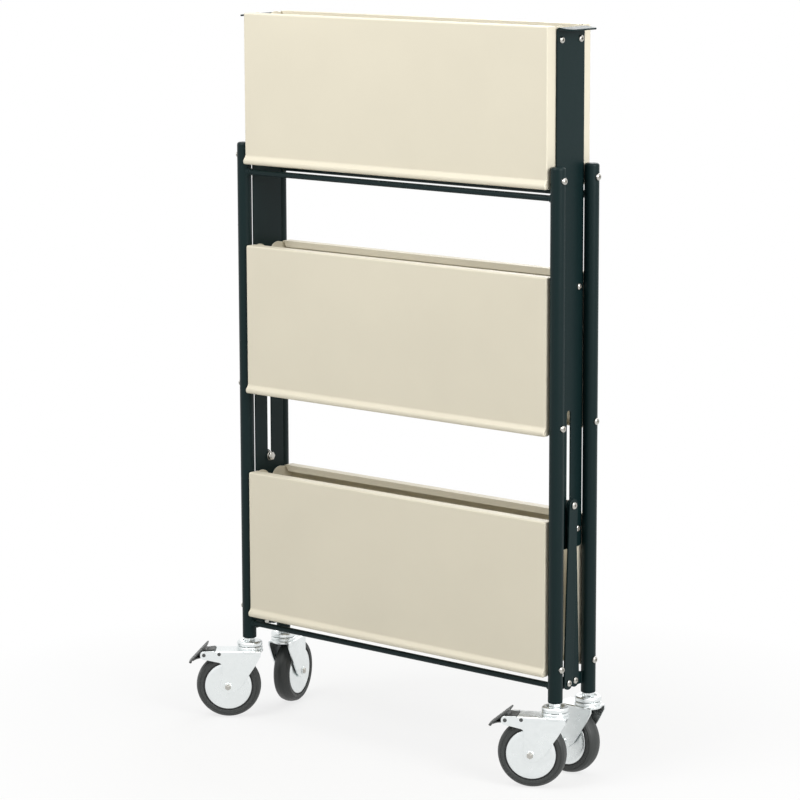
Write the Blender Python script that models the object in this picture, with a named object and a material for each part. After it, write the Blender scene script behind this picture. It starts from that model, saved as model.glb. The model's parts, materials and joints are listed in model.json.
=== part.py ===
"""Folding shelf trolley on four casters, modelled folded, as it stands when it is put away.

Two leg frames, front and back, carry three shelves. Each shelf is two half pans, hinged to the legs at
their outer edge and to a pair of flat centre posts at their inner edge. Folded, the pans stand upright
between the legs. To open the trolley the posts go down and the legs go apart, until the pans lie level
and the bolt that joins each pair of links has run to the top of the slot in its post.

+X runs along the shelves to the right, -Y is the front and +Z is up. The floor is at Z = 0 and the
origin is the middle of the footprint. Sizes are in millimetres, and meshes are made in metres.
"""

import math

import bmesh
import bpy
from mathutils import Matrix, Vector

MM = 0.001

# Half shelves
SHELF_LENGTH = 592.0          # over the side flanges
SHELF_SPACING = 360.0         # from one shelf to the next
HINGE_SPAN = 200.0            # outer hinge to inner hinge, measured along the shelf
SHELF_SHEET = 1.5
CENTRE_GAP = 4.8              # left between the two halves of an open shelf
BEAD_RADIUS = 6.5             # of the rolled lip along the outer edge
BEAD_FILLET = 3.0             # where the lip rises from the shelf
BEAD_LIFT = 1.0               # middle of the bead above the shelf's top
BEAD_HEM = 6.0                # how far the lip's edge is turned down past the shelf
INNER_BEND = 2.5              # of the bends at the inner edge
INNER_FLANGE = 18.0           # depth of the flange along the inner edge
RETURN_LIP = 10.0             # turned back under the shelf from that flange
LIP_RELIEF = 6.0              # corner cut that ends the return lip short of the side flange
OUTER_BOSS_RADIUS = 10.0      # of the side flange round the outer hinge

# Centre posts
POST_WIDTH = 64.0
POST_SHEET = 2.5
POST_HINGE_SPACING = 44.8     # between the front and the back row of hinges
POST_ABOVE_HINGE = 18.0       # top of the post over its highest hinge
POST_BELOW_HINGE = 27.0
POST_CHAMFER = 4.0            # of the two lower corners
TAB_REACH = 22.0              # of the handle tab bent out at the top
TAB_BEND = 3.0
TAB_CORNER = 12.0

# Leg frames
TUBE_DIAMETER = 22.0
TUBE_WALL = 1.5
TUBE_TOP_ROUND = 4.0
TUBE_ABOVE_HINGE = 20.0
TUBE_BELOW_HINGE = 50.6
RAIL_DIAMETER = 9.0
UPPER_RAIL_DROP = 26.0        # below the hinge of the top shelf
LOWER_RAIL_DROP = 26.5        # below the hinge of the bottom shelf
PLUG_HEIGHT = 790.0           # of the small plug in the outer side of the front left leg
PLUG_DIAMETER = 7.5
PLUG_RISE = 3.0

# Links between the leg frames and the posts
LINK_WIDTH = 20.0
LINK_SHEET = 3.0
LINK_PIVOT_RISE = 23.0        # lower pivots over the lower end of the leg tubes
LINK_PIVOT_OFFSET = 10.0      # lower pivots from the middle plane, folded
APEX_RISE = 39.0              # upper pivot over the lowest hinge of the post, folded
BRACKET_SHEET = 3.0
BRACKET_RADIUS = 9.0

# Fasteners
PIN_DIAMETER = 6.0
PIN_HEAD_DIAMETER = 11.0
PIN_HEAD_HEIGHT = 3.0
PIN_TAIL_LENGTH = 4.5
SLOT_BOLT_DIAMETER = 8.0
SLOT_NUT_DIAMETER = 13.0
SLOT_NUT_HEIGHT = 5.0
SLOT_COLLAR_DIAMETER = 16.0
APEX_HEAD_DIAMETER = 12.0

# Casters
WHEEL_DIAMETER = 104.0
WHEEL_WIDTH = 27.0
RIM_DIAMETER = 75.0
RIM_INSET = 2.0               # rim of the wheel centre in from the tyre's side
TYRE_BEVEL = 3.0              # where the tyre meets the rim
HUB_WIDTH = 31.0
HUB_BOSS_DIAMETER = 22.0
AXLE_DIAMETER = 8.0
AXLE_HEAD_DIAMETER = 14.0
AXLE_HEAD_HEIGHT = 3.0
CASTER_TRAIL = 34.0           # axle from swivel axis
FORK_SHEET = 2.5
FORK_BEND = 3.0
FORK_FRONT = 18.5             # edge of the fork ahead of the swivel axis
FORK_BOSS_RADIUS = 10.5       # of the fork's leg round the axle
FORK_LEG_BACK = 9.5           # back edge of the fork's leg behind the axle
FORK_TOE_REACH = 21.0         # lower end of the curved front edge, ahead of the axle
FRONT_EDGE_DROP = 8.0         # upper end of the curved front edge, below the fork's top
FRONT_EDGE_PULL = (0.35, 0.4) # where that edge is drawn to, as shares along and down
TAIL_TOP_REACH = 53.5         # back edge of a braked fork's top, from the swivel axis
TAIL_RELIEF = 1.5             # cut between that edge and the top of the tail
TAIL_REACH = 72.0             # brake pivot from the swivel axis
TAIL_RADIUS = 6.0
TAIL_DROP = 6.8               # brake pivot below the fork's top
TAIL_DEPTH = 19.8             # inner corner under a braked fork's tail, below the fork's top
TAIL_FILLET = 6.0
STOP_PIN_REACH = 47.6
STOP_PIN_DIAMETER = 4.0
STOP_PIN_DROP = 5.0           # below the fork's top
STOP_PIN_RISE = 1.0           # its ends out of the fork's sides
CROWN_DIAMETER = 41.0
CROWN_RISE = 6.0              # crown above the fork's top
RACE_DIAMETER = 40.0
RACE_HEIGHT = 8.0
STEM_HEX = 17.0               # across flats
STEM_HEX_HEIGHT = 5.0
STEM_PLUG_LENGTH = 30.0       # inside the leg tube
KINGPIN_DIAMETER = 10.0
KINGPIN_NUT_DIAMETER = 16.0
KINGPIN_NUT_HEIGHT = 4.0

# Brake pedals
PEDAL_LENGTH = 44.3
PEDAL_WIDTH = 26.0
PEDAL_SHEET = 2.0
PEDAL_TILT = 39.4             # degrees, not pressed
PEDAL_OUTSIDE = 27.0          # outer end of the pedal beyond its pivot
PEDAL_DIP = 11.0              # outer end of the pedal below its pivot
PEDAL_ARM_INSET = 1.5         # arm narrower than the pedal's plate, on each side
PEDAL_BOSS_RADIUS = 5.0       # of the arm round the pivot
PEDAL_ROOT = 0.2              # the arm under the plate, from this share of the plate's length
PEDAL_NECK = 0.8              # to this one
TONGUE_ROOT = 4.7             # where the tongue leaves the arm, inwards from the pivot
TONGUE_REACH = 17.0           # end of the tongue, inwards from the pivot
TONGUE_TOP = 6.5              # top of the tongue above the pivot
TONGUE_HEIGHT = 2.5
PEDAL_PIN_DIAMETER = 4.0
PEDAL_PIN_HEAD = 5.8
PEDAL_PIN_HEAD_HEIGHT = 1.2
PEDAL_SLEEVE_DIAMETER = 8.0   # on the pin, between the pedal and the fork's sides

# Directions in which the casters trail, in degrees from +X towards +Y
HEADINGS = {"front_left": 219.0, "front_right": 208.0, "back_left": 107.0, "back_right": 181.0}

# How far the pedals are pressed, in degrees
PRESSED = {"front_left": 7.5, "front_right": 0.0}

# Clearances
SEAT_GAP = 0.3                # between pieces that rest on each other
TURN_GAP = 0.4                # round a pin in its hole, on the radius
KINGPIN_GAP = 0.8             # round a kingpin in its fork, on the radius
SIDE_GAP = 1.0                # between a shelf's ends and the legs or the posts
NEST_GAP = 0.7                # between a post's edges and the legs, folded
WHEEL_GAP = 4.0               # between the tyre and the fork's top
FORK_SIDE_GAP = 0.8           # between the hub and the fork
TYRE_SEAT_GAP = 0.3           # between the tyre and the wheel centre
SLEEVE_GAP = 0.5              # between the sleeve on a pedal's pin and the fork's sides

# Numbers of sides on round pieces
WHEEL_SIDES = 24
TUBE_SIDES = 14
RACE_SIDES = 14
PIN_SIDES = 8

LEVELS = ("bottom", "middle", "top")
SIDES = {"front": -1, "back": 1}
ENDS = {"left": -1, "right": 1}

# Places that follow from the sizes
TUBE_RADIUS = TUBE_DIAMETER / 2
WHEEL_RADIUS = WHEEL_DIAMETER / 2
SHELF_END = SHELF_LENGTH / 2
LEG_X = SHELF_END + SIDE_GAP + TUBE_RADIUS
POST_INSIDE = SHELF_END + SIDE_GAP
POST_OUTSIDE = POST_INSIDE + POST_SHEET
LEG_Y = POST_WIDTH / 2 + math.sqrt((TUBE_RADIUS + NEST_GAP) ** 2 - (LEG_X - POST_OUTSIDE) ** 2)
POST_HINGE_Y = POST_HINGE_SPACING / 2
HINGE_DROP = LEG_Y - POST_HINGE_Y
SHELF_SURFACE = TUBE_RADIUS
INNER_BOSS_RADIUS = POST_HINGE_Y - CENTRE_GAP / 2
SHELF_EDGE = HINGE_SPAN + INNER_BOSS_RADIUS

AXLE_Z = WHEEL_RADIUS * math.cos(math.pi / WHEEL_SIDES)
FORK_TOP = AXLE_Z + WHEEL_RADIUS + WHEEL_GAP + FORK_SHEET
FORK_HALF = HUB_WIDTH / 2 + FORK_SIDE_GAP + FORK_SHEET
CROWN_TOP = FORK_TOP + CROWN_RISE
RACE_TOP = CROWN_TOP + SEAT_GAP + RACE_HEIGHT
TUBE_BOTTOM = RACE_TOP + STEM_HEX_HEIGHT + SEAT_GAP
TAIL_Z = FORK_TOP - TAIL_DROP

HINGE_Z = {level: TUBE_BOTTOM + TUBE_BELOW_HINGE + step * SHELF_SPACING for step, level in enumerate(LEVELS)}
POST_HINGE_Z = {level: height + HINGE_SPAN for level, height in HINGE_Z.items()}
TUBE_TOP = HINGE_Z["top"] + TUBE_ABOVE_HINGE

LINK_PIVOT_Z = TUBE_BOTTOM + LINK_PIVOT_RISE
APEX_Z = POST_HINGE_Z["bottom"] + APEX_RISE
LINK_LENGTH = math.hypot(APEX_Z - LINK_PIVOT_Z, LINK_PIVOT_OFFSET)
LINK_LEAN = math.atan2(LINK_PIVOT_OFFSET, APEX_Z - LINK_PIVOT_Z)
OPEN_PIVOT_OFFSET = LINK_PIVOT_OFFSET + HINGE_SPAN - HINGE_DROP
POST_DROP = HINGE_SPAN + HINGE_DROP
APEX_DROP = APEX_Z - LINK_PIVOT_Z - math.sqrt(LINK_LENGTH**2 - OPEN_PIVOT_OFFSET**2)
SLOT_TRAVEL = POST_DROP - APEX_DROP

COLLAR_TOP = POST_OUTSIDE + SEAT_GAP + PIN_HEAD_HEIGHT + SEAT_GAP
INNER_LINK = COLLAR_TOP + SEAT_GAP
OUTER_LINK = INNER_LINK + LINK_SHEET + SEAT_GAP
BRACKET_OUTSIDE = INNER_LINK - SEAT_GAP

PIN_RADIUS = PIN_DIAMETER / 2
PIN_HOLE_RADIUS = PIN_RADIUS + TURN_GAP
UP = (0.0, 0.0, 1.0)
ALONG_X = Matrix.Rotation(math.pi / 2, 3, "Y")
ALONG_Y = Matrix.Rotation(math.pi / 2, 3, "X")
HALF_TURN = (0.0, 0.0, math.pi)


def clear_scene():
    for obj in list(bpy.data.objects):
        bpy.data.objects.remove(obj, do_unlink=True)


def material(name, colour, roughness, metallic):
    found = bpy.data.materials.new(name)
    found.use_nodes = True
    shader = found.node_tree.nodes["Principled BSDF"]
    shader.inputs["Base Color"].default_value = (*colour, 1.0)
    shader.inputs["Roughness"].default_value = roughness
    shader.inputs["Metallic"].default_value = metallic
    return found


def arc(centre, radius, start, end, steps):
    """Points on an arc in the plane, from one angle to another, in degrees."""
    angles = [math.radians(start + (end - start) * k / steps) for k in range(steps + 1)]
    return [(centre[0] + radius * math.cos(a), centre[1] + radius * math.sin(a)) for a in angles]


def curve(start, pull, end, steps):
    """Points on a smooth curve between two points, drawn towards a third."""
    parts = [(1 - k / steps, k / steps) for k in range(steps + 1)]
    axes = list(zip(start, pull, end))
    return [tuple(a * a * s + 2 * a * b * p + b * b * e for s, p, e in axes) for a, b in parts]


def tangent_angle(point, centre, radius, side):
    """Direction, in degrees, from a circle's centre to where a line from the point touches it."""
    across, up = point[0] - centre[0], point[1] - centre[1]
    return math.degrees(math.atan2(up, across) + side * math.acos(radius / math.hypot(across, up)))


def outer_tangent(first, first_radius, second, second_radius):
    """Direction, in degrees, from both centres to the line that touches both circles, right of the way."""
    across, up = second[0] - first[0], second[1] - first[1]
    spread = math.asin((second_radius - first_radius) / math.hypot(across, up))
    return math.degrees(math.atan2(up, across) - math.pi / 2 - spread)


def to_mesh(shape, name, smooth=True):
    """Ends a shape: welds it, turns its faces outwards, and brings it from millimetres to metres."""
    bmesh.ops.remove_doubles(shape, verts=shape.verts, dist=0.001)
    bmesh.ops.dissolve_degenerate(shape, edges=shape.edges, dist=0.0005)
    bmesh.ops.recalc_face_normals(shape, faces=shape.faces)
    bmesh.ops.scale(shape, vec=(MM, MM, MM), verts=shape.verts)
    mesh = bpy.data.meshes.new(name)
    shape.to_mesh(mesh)
    shape.free()
    if smooth:
        mesh.shade_smooth()
        mesh.set_sharp_from_angle(angle=math.radians(35))
    return mesh


def prism(name, outline, low, high, turn=None):
    """A plate with the given outline in the XY plane, from one Z to another, then turned."""
    shape = bmesh.new()
    face = shape.faces.new([shape.verts.new((across, up, low)) for across, up in outline])
    raised = bmesh.ops.extrude_face_region(shape, geom=[face])
    top = [item for item in raised["geom"] if isinstance(item, bmesh.types.BMVert)]
    bmesh.ops.translate(shape, vec=(0, 0, high - low), verts=top)
    if turn:
        bmesh.ops.transform(shape, matrix=turn.to_4x4(), verts=shape.verts)
    return to_mesh(shape, name, smooth=False)


def turned(name, profile, sides, turn=None, start=0.0, ring=False):
    """A turned piece: a profile of (radius, Z) points spun round the Z axis, then laid along another."""
    shape = bmesh.new()
    ray = Vector((math.cos(start), math.sin(start), 0))
    points = [shape.verts.new(ray * radius + Vector((0, 0, z))) for radius, z in profile]
    edges = [shape.edges.new(pair) for pair in zip(points, points[1:])]
    if ring:
        edges.append(shape.edges.new((points[-1], points[0])))
    bmesh.ops.spin(shape, geom=points + edges, cent=(0, 0, 0), axis=UP, angle=2 * math.pi, steps=sides,
                   use_merge=True)
    if turn:
        bmesh.ops.transform(shape, matrix=turn.to_4x4(), verts=shape.verts)
    return to_mesh(shape, name)


def rod(name, radius, low, high, sides=PIN_SIDES, turn=None):
    return turned(name, [(0, low), (radius, low), (radius, high), (0, high)], sides, turn)


def moved(mesh, offset=(0, 0, 0), turn=0.0):
    """The same mesh, turned round Z by an angle in degrees and moved by millimetres."""
    mesh.transform(Matrix.Translation(Vector(offset) * MM) @ Matrix.Rotation(math.radians(turn), 4, "Z"))
    return mesh


def combined(name, base, others, operation):
    """Joins the other meshes to the base, or cuts them out of it."""
    body = bpy.data.objects.new(name, base)
    bpy.context.scene.collection.objects.link(body)
    tools = []
    for mesh in others:
        tool = bpy.data.objects.new("tool", mesh)
        tool.hide_render = True
        tool.display_type = "WIRE"
        bpy.context.scene.collection.objects.link(tool)
        step = body.modifiers.new("step", "BOOLEAN")
        step.operation = operation
        step.solver = "EXACT"
        step.object = tool
        tools.append(tool)
    bpy.context.view_layer.update()
    result = bpy.data.meshes.new_from_object(body.evaluated_get(bpy.context.evaluated_depsgraph_get()))
    for obj in [body, *tools]:
        bpy.data.objects.remove(obj, do_unlink=True)
    result.name = name
    result.shade_smooth()
    result.set_sharp_from_angle(angle=math.radians(35))
    return result


def thickened(name, shape, thickness):
    """Sheet metal: gives an open surface its thickness, on the side away from its normals."""
    bmesh.ops.remove_doubles(shape, verts=shape.verts, dist=0.001)
    bmesh.ops.scale(shape, vec=(MM, MM, MM), verts=shape.verts)
    mesh = bpy.data.meshes.new(name)
    shape.to_mesh(mesh)
    shape.free()
    sheet = bpy.data.objects.new(name, mesh)
    bpy.context.scene.collection.objects.link(sheet)
    solid = sheet.modifiers.new("sheet", "SOLIDIFY")
    solid.thickness = thickness * MM
    solid.offset = -1.0
    solid.use_even_offset = True
    solid.use_quality_normals = True
    bpy.context.view_layer.update()
    result = bpy.data.meshes.new_from_object(sheet.evaluated_get(bpy.context.evaluated_depsgraph_get()))
    bpy.data.objects.remove(sheet, do_unlink=True)
    result.name = name
    return result


class Assembly:
    """Places pieces on anchors. An anchor is an empty on the axis of the joint that moves its pieces."""

    def __init__(self):
        self.places = {}

    def anchor(self, name, at, parent=None):
        empty = bpy.data.objects.new(name, None)
        empty.empty_display_size = 20 * MM
        bpy.context.scene.collection.objects.link(empty)
        self.places[empty] = Vector(at)
        self.settle(empty, at, parent)
        return empty

    def piece(self, name, mesh, look, parent, at, turn=(0.0, 0.0, 0.0)):
        obj = bpy.data.objects.new(name, mesh)
        bpy.context.scene.collection.objects.link(obj)
        if not mesh.materials:
            mesh.materials.append(look)
        obj.rotation_euler = turn
        self.settle(obj, at, parent)
        return obj

    def settle(self, obj, at, parent):
        obj.parent = parent
        obj.location = (Vector(at) - (self.places[parent] if parent else Vector())) * MM


def shelf_path():
    """The half shelf's outer line across its width, from the hem of the lip to the inner flange.

    The points are (distance inwards, height) from the outer hinge, as the open shelf lies.
    """
    crown = SHELF_SURFACE + BEAD_LIFT
    bead = (-BEAD_RADIUS, crown)
    fillet = (BEAD_FILLET, SHELF_SURFACE + BEAD_FILLET)
    path = [(-2 * BEAD_RADIUS, SHELF_SURFACE - BEAD_HEM)]
    path += arc(bead, BEAD_RADIUS, 180, 20, 5)
    path += arc(fillet, BEAD_FILLET, 215, 270, 1)
    path += arc((SHELF_EDGE - INNER_BEND, SHELF_SURFACE - INNER_BEND), INNER_BEND, 90, 0, 2)
    path.append((SHELF_EDGE, SHELF_SURFACE - INNER_FLANGE))
    return path


def half_shelf():
    """One pressed pan: its top with the rolled lip, the inner flange and both side flanges, in one sheet."""
    path = shelf_path()
    inner_hinge = (HINGE_SPAN, -HINGE_DROP)
    lean = outer_tangent((0, 0), OUTER_BOSS_RADIUS, inner_hinge, INNER_BOSS_RADIUS)
    flange = path + arc(inner_hinge, INNER_BOSS_RADIUS, 0, lean, 4)
    flange += arc((0, 0), OUTER_BOSS_RADIUS, lean, -180, 3)

    shape = bmesh.new()
    near, far = [[shape.verts.new((x, u, v)) for u, v in path] for x in (-SHELF_END, SHELF_END)]
    for k in range(len(path) - 2):
        shape.faces.new((near[k], far[k], far[k + 1], near[k + 1]))
    lip_end = SHELF_END - LIP_RELIEF
    bend = [shape.verts.new((x, *path[-1])) for x in (-lip_end, lip_end)]
    edge = [shape.verts.new((x, path[-1][0] - RETURN_LIP, path[-1][1])) for x in (-lip_end, lip_end)]
    shape.faces.new((near[-2], far[-2], far[-1], bend[1], bend[0], near[-1]))
    shape.faces.new((bend[0], bend[1], edge[1], edge[0]))
    for row, x, order in ((near, -SHELF_END, 1), (far, SHELF_END, -1)):
        rest = [shape.verts.new((x, u, v)) for u, v in flange[len(path):]]
        shape.faces.new((row + rest)[::order])
    pan = thickened("half_shelf", shape, SHELF_SHEET)

    reach = SHELF_END + SHELF_SHEET
    holes = []
    for u, v in ((0, 0), inner_hinge):
        hole = rod("hole", PIN_HOLE_RADIUS, -reach, reach, turn=ALONG_X)
        holes.append(moved(hole, (0, u, v)))
    return combined("half_shelf", pan, holes, "DIFFERENCE")


def leg_tube(plugged):
    """A leg: a tube with a rounded, closed top, open below for the caster, cross-drilled at each shelf."""
    inside = TUBE_RADIUS - TUBE_WALL
    profile = [(inside, TUBE_BOTTOM), (TUBE_RADIUS, TUBE_BOTTOM)]
    profile += arc((TUBE_RADIUS - TUBE_TOP_ROUND, TUBE_TOP - TUBE_TOP_ROUND), TUBE_TOP_ROUND, 0, 90, 2)
    roof = TUBE_TOP - TUBE_TOP_ROUND - TUBE_WALL
    profile += [(0, TUBE_TOP), (0, roof), (inside, roof)]
    tube = turned("leg_tube", profile, TUBE_SIDES, start=math.pi / TUBE_SIDES, ring=True)
    reach = TUBE_DIAMETER
    holes = [moved(rod("hole", PIN_HOLE_RADIUS, -reach, reach, turn=ALONG_X), (0, 0, HINGE_Z[level]))
             for level in LEVELS]
    tube = combined("leg_tube", tube, holes, "DIFFERENCE")
    if not plugged:
        return tube
    dome = [(0, -TUBE_WALL), (PLUG_DIAMETER / 2, -TUBE_WALL), (PLUG_DIAMETER / 2, PLUG_RISE / 3),
            (PLUG_DIAMETER / 3, 0.8 * PLUG_RISE), (0, PLUG_RISE)]
    plug = moved(turned("plug", dome, PIN_SIDES, ALONG_X), (TUBE_RADIUS - TUBE_WALL / 3, 0, PLUG_HEIGHT))
    plug.transform(Matrix.Rotation(math.pi, 4, "Z"))
    return combined("leg_tube_plugged", tube, [plug], "UNION")


def button_head(face, radius):
    """The end of a turned profile: a button head that stands on a face at the given place."""
    return [(radius, face), (0.6 * radius, face + PIN_HEAD_HEIGHT), (0, face + PIN_HEAD_HEIGHT)]


def pin_tail(face):
    """The start of a turned profile: the nut or upset end of a pin, which holds a face from behind."""
    big = PIN_HEAD_DIAMETER / 2
    return [(0, face - PIN_TAIL_LENGTH), (big, face - PIN_TAIL_LENGTH), (big, face), (PIN_RADIUS, face)]


def hinge_screw():
    """A button-head screw through a leg and a shelf's side flange, with its nut inside the shelf."""
    head = TUBE_RADIUS + SEAT_GAP
    flange = SHELF_END - SHELF_SHEET - LEG_X - SEAT_GAP
    big = PIN_HEAD_DIAMETER / 2
    profile = pin_tail(flange) + [(PIN_RADIUS, head)] + button_head(head, big)
    return turned("hinge_screw", profile, PIN_SIDES, ALONG_X)


def link_bracket():
    """The plate on a leg that a link turns on, seen from the pivot: it reaches back to the tube's wall."""
    plane = LEG_X - BRACKET_OUTSIDE + BRACKET_SHEET / 2
    wall = LEG_Y - LINK_PIVOT_OFFSET - math.sqrt(TUBE_RADIUS**2 - (plane - BRACKET_SHEET / 2) ** 2)
    outline = arc((0, 0), BRACKET_RADIUS, 90, -90, 6)
    outline += [(SEAT_GAP - wall, -BRACKET_RADIUS), (SEAT_GAP - wall, BRACKET_RADIUS)]
    upright = Matrix(((0, 0, 1), (1, 0, 0), (0, 1, 0)))
    plate = prism("link_bracket", outline, -BRACKET_SHEET / 2, BRACKET_SHEET / 2, upright)
    hole = rod("hole", PIN_HOLE_RADIUS, -BRACKET_SHEET, BRACKET_SHEET, turn=ALONG_X)
    return combined("link_bracket", plate, [hole], "DIFFERENCE")


def rail():
    length = LEG_X - TUBE_RADIUS - SEAT_GAP
    return rod("rail", RAIL_DIAMETER / 2, -length, length, 12, ALONG_X)


def post():
    """A flat post, slotted in its lower part, with a handle tab bent out at the top and its hinge pins."""
    bottom = POST_HINGE_Z["bottom"] - POST_BELOW_HINGE
    top = POST_HINGE_Z["top"] + POST_ABOVE_HINGE
    half = POST_WIDTH / 2
    bend = (POST_OUTSIDE + TAB_BEND, top - POST_SHEET - TAB_BEND)
    line = [(POST_OUTSIDE, bottom, half - POST_CHAMFER), (POST_OUTSIDE, bottom + POST_CHAMFER, half)]
    line += [(x, z, half) for x, z in arc(bend, TAB_BEND, 180, 90, 3)]
    tip = POST_OUTSIDE + TAB_REACH
    for across, width in arc((tip - TAB_CORNER, half - TAB_CORNER), TAB_CORNER, 90, 0, 4):
        line.append((across, top - POST_SHEET, width))
    shape = bmesh.new()
    rows = [[shape.verts.new((x, -width, z)), shape.verts.new((x, width, z))] for x, z, width in line]
    for low, high in zip(rows, rows[1:]):
        shape.faces.new((low[0], low[1], high[1], high[0]))
    plate = thickened("post", shape, POST_SHEET)

    radius = SLOT_BOLT_DIAMETER / 2 + TURN_GAP
    outline = arc((0, APEX_Z), radius, 180, 360, 4) + arc((0, APEX_Z + SLOT_TRAVEL), radius, 0, 180, 4)
    upright = Matrix(((0, 0, 1), (1, 0, 0), (0, 1, 0)))
    slot = prism("slot", outline, POST_INSIDE - POST_SHEET, POST_OUTSIDE + POST_SHEET, upright)
    plate = combined("post", plate, [slot], "DIFFERENCE")

    flange = SHELF_END - SHELF_SHEET - SEAT_GAP
    big = PIN_HEAD_DIAMETER / 2
    middle = POST_OUTSIDE - POST_SHEET / 2
    profile = pin_tail(flange) + [(PIN_RADIUS, middle), (big, middle)] + button_head(POST_OUTSIDE, big)
    pins = [moved(turned("pin", profile, PIN_SIDES, ALONG_X), (0, side * POST_HINGE_Y, POST_HINGE_Z[level]))
            for side in SIDES.values() for level in LEVELS]
    return combined("post", plate, pins, "UNION")


def link(inside, outer):
    """A flat link hanging from its upper pivot, with the rivet that turns in the leg's bracket.

    An outer link carries the head of the upper pivot. An inner link has a plain hole there.
    """
    half = LINK_WIDTH / 2
    outline = arc((0, -LINK_LENGTH), half, 180, 360, 6) + arc((0, 0), half, 0, 180, 6)
    upright = Matrix(((0, 0, 1), (1, 0, 0), (0, 1, 0)))
    bar = prism("link", outline, inside, inside + LINK_SHEET, upright)
    outside = inside + LINK_SHEET
    big = PIN_HEAD_DIAMETER / 2
    back = BRACKET_OUTSIDE - BRACKET_SHEET - SEAT_GAP
    overlap = LINK_SHEET / 4
    rivet = [(0, back - PIN_HEAD_HEIGHT), (big, back - PIN_HEAD_HEIGHT), (big, back), (PIN_RADIUS, back)]
    if inside - BRACKET_OUTSIDE > 2 * SEAT_GAP:
        rivet += [(PIN_RADIUS, BRACKET_OUTSIDE + SEAT_GAP), (big, BRACKET_OUTSIDE + SEAT_GAP)]
    else:
        rivet += [(PIN_RADIUS, outside - overlap), (big, outside - overlap)]
    rivet += button_head(outside, big)
    joined = [moved(turned("rivet", rivet, PIN_SIDES, ALONG_X), (0, 0, -LINK_LENGTH))]
    if outer:
        crown = APEX_HEAD_DIAMETER / 2
        head = [(0, outside - overlap), (crown, outside - overlap)] + button_head(outside, crown)
        joined.append(turned("head", head, PIN_SIDES, ALONG_X))
    else:
        eye = SLOT_BOLT_DIAMETER / 2 + TURN_GAP
        hole = rod("hole", eye, inside - LINK_SHEET, outside + LINK_SHEET, turn=ALONG_X)
        bar = combined("link", bar, [hole], "DIFFERENCE")
    return combined("link", bar, joined, "UNION")


def slot_bolt():
    """The bolt that slides in a post's slot: nut inside, shank, and the collar that spaces the links."""
    nut = SLOT_NUT_DIAMETER / 2
    shank = SLOT_BOLT_DIAMETER / 2
    collar = SLOT_COLLAR_DIAMETER / 2
    inside = POST_INSIDE - SEAT_GAP
    outside = POST_OUTSIDE + SEAT_GAP
    profile = [(0, inside - SLOT_NUT_HEIGHT), (nut, inside - SLOT_NUT_HEIGHT), (nut, inside), (shank, inside),
               (shank, outside), (collar, outside), (collar, COLLAR_TOP), (0, COLLAR_TOP)]
    return turned("slot_bolt", profile, PIN_SIDES, ALONG_X)


def fork_outline(braked):
    """The outline of a fork's side, as (distance behind the swivel axis, height).

    Its first two points are the ends of the bend along the fork's top.
    """
    axle = (CASTER_TRAIL, AXLE_Z)
    leg_back = CASTER_TRAIL + FORK_LEG_BACK
    front = (-FORK_FRONT, FORK_TOP - FRONT_EDGE_DROP)
    toe = (CASTER_TRAIL - FORK_TOE_REACH, AXLE_Z)
    pull = [high + share * (low - high) for high, low, share in zip(front, toe, FRONT_EDGE_PULL)]
    bend = FORK_TOP - FORK_BEND
    outline = [(-FORK_FRONT, bend)]
    if braked:
        outline += [(TAIL_TOP_REACH, bend), (TAIL_TOP_REACH + TAIL_RELIEF, FORK_TOP)]
        outline += arc((TAIL_REACH, TAIL_Z), TAIL_RADIUS, 90, -90, 4)
        corner = (leg_back + TAIL_FILLET, FORK_TOP - TAIL_DEPTH - TAIL_FILLET)
        outline += arc(corner, TAIL_FILLET, 90, 180, 3)
    else:
        outline.append((leg_back, bend))
    first = math.degrees(math.acos(FORK_LEG_BACK / FORK_BOSS_RADIUS))
    last = tangent_angle(toe, axle, FORK_BOSS_RADIUS, 1) - 360
    outline += arc(axle, FORK_BOSS_RADIUS, first, last, 5)
    return outline + curve(toe, pull, front, 3)


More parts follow.
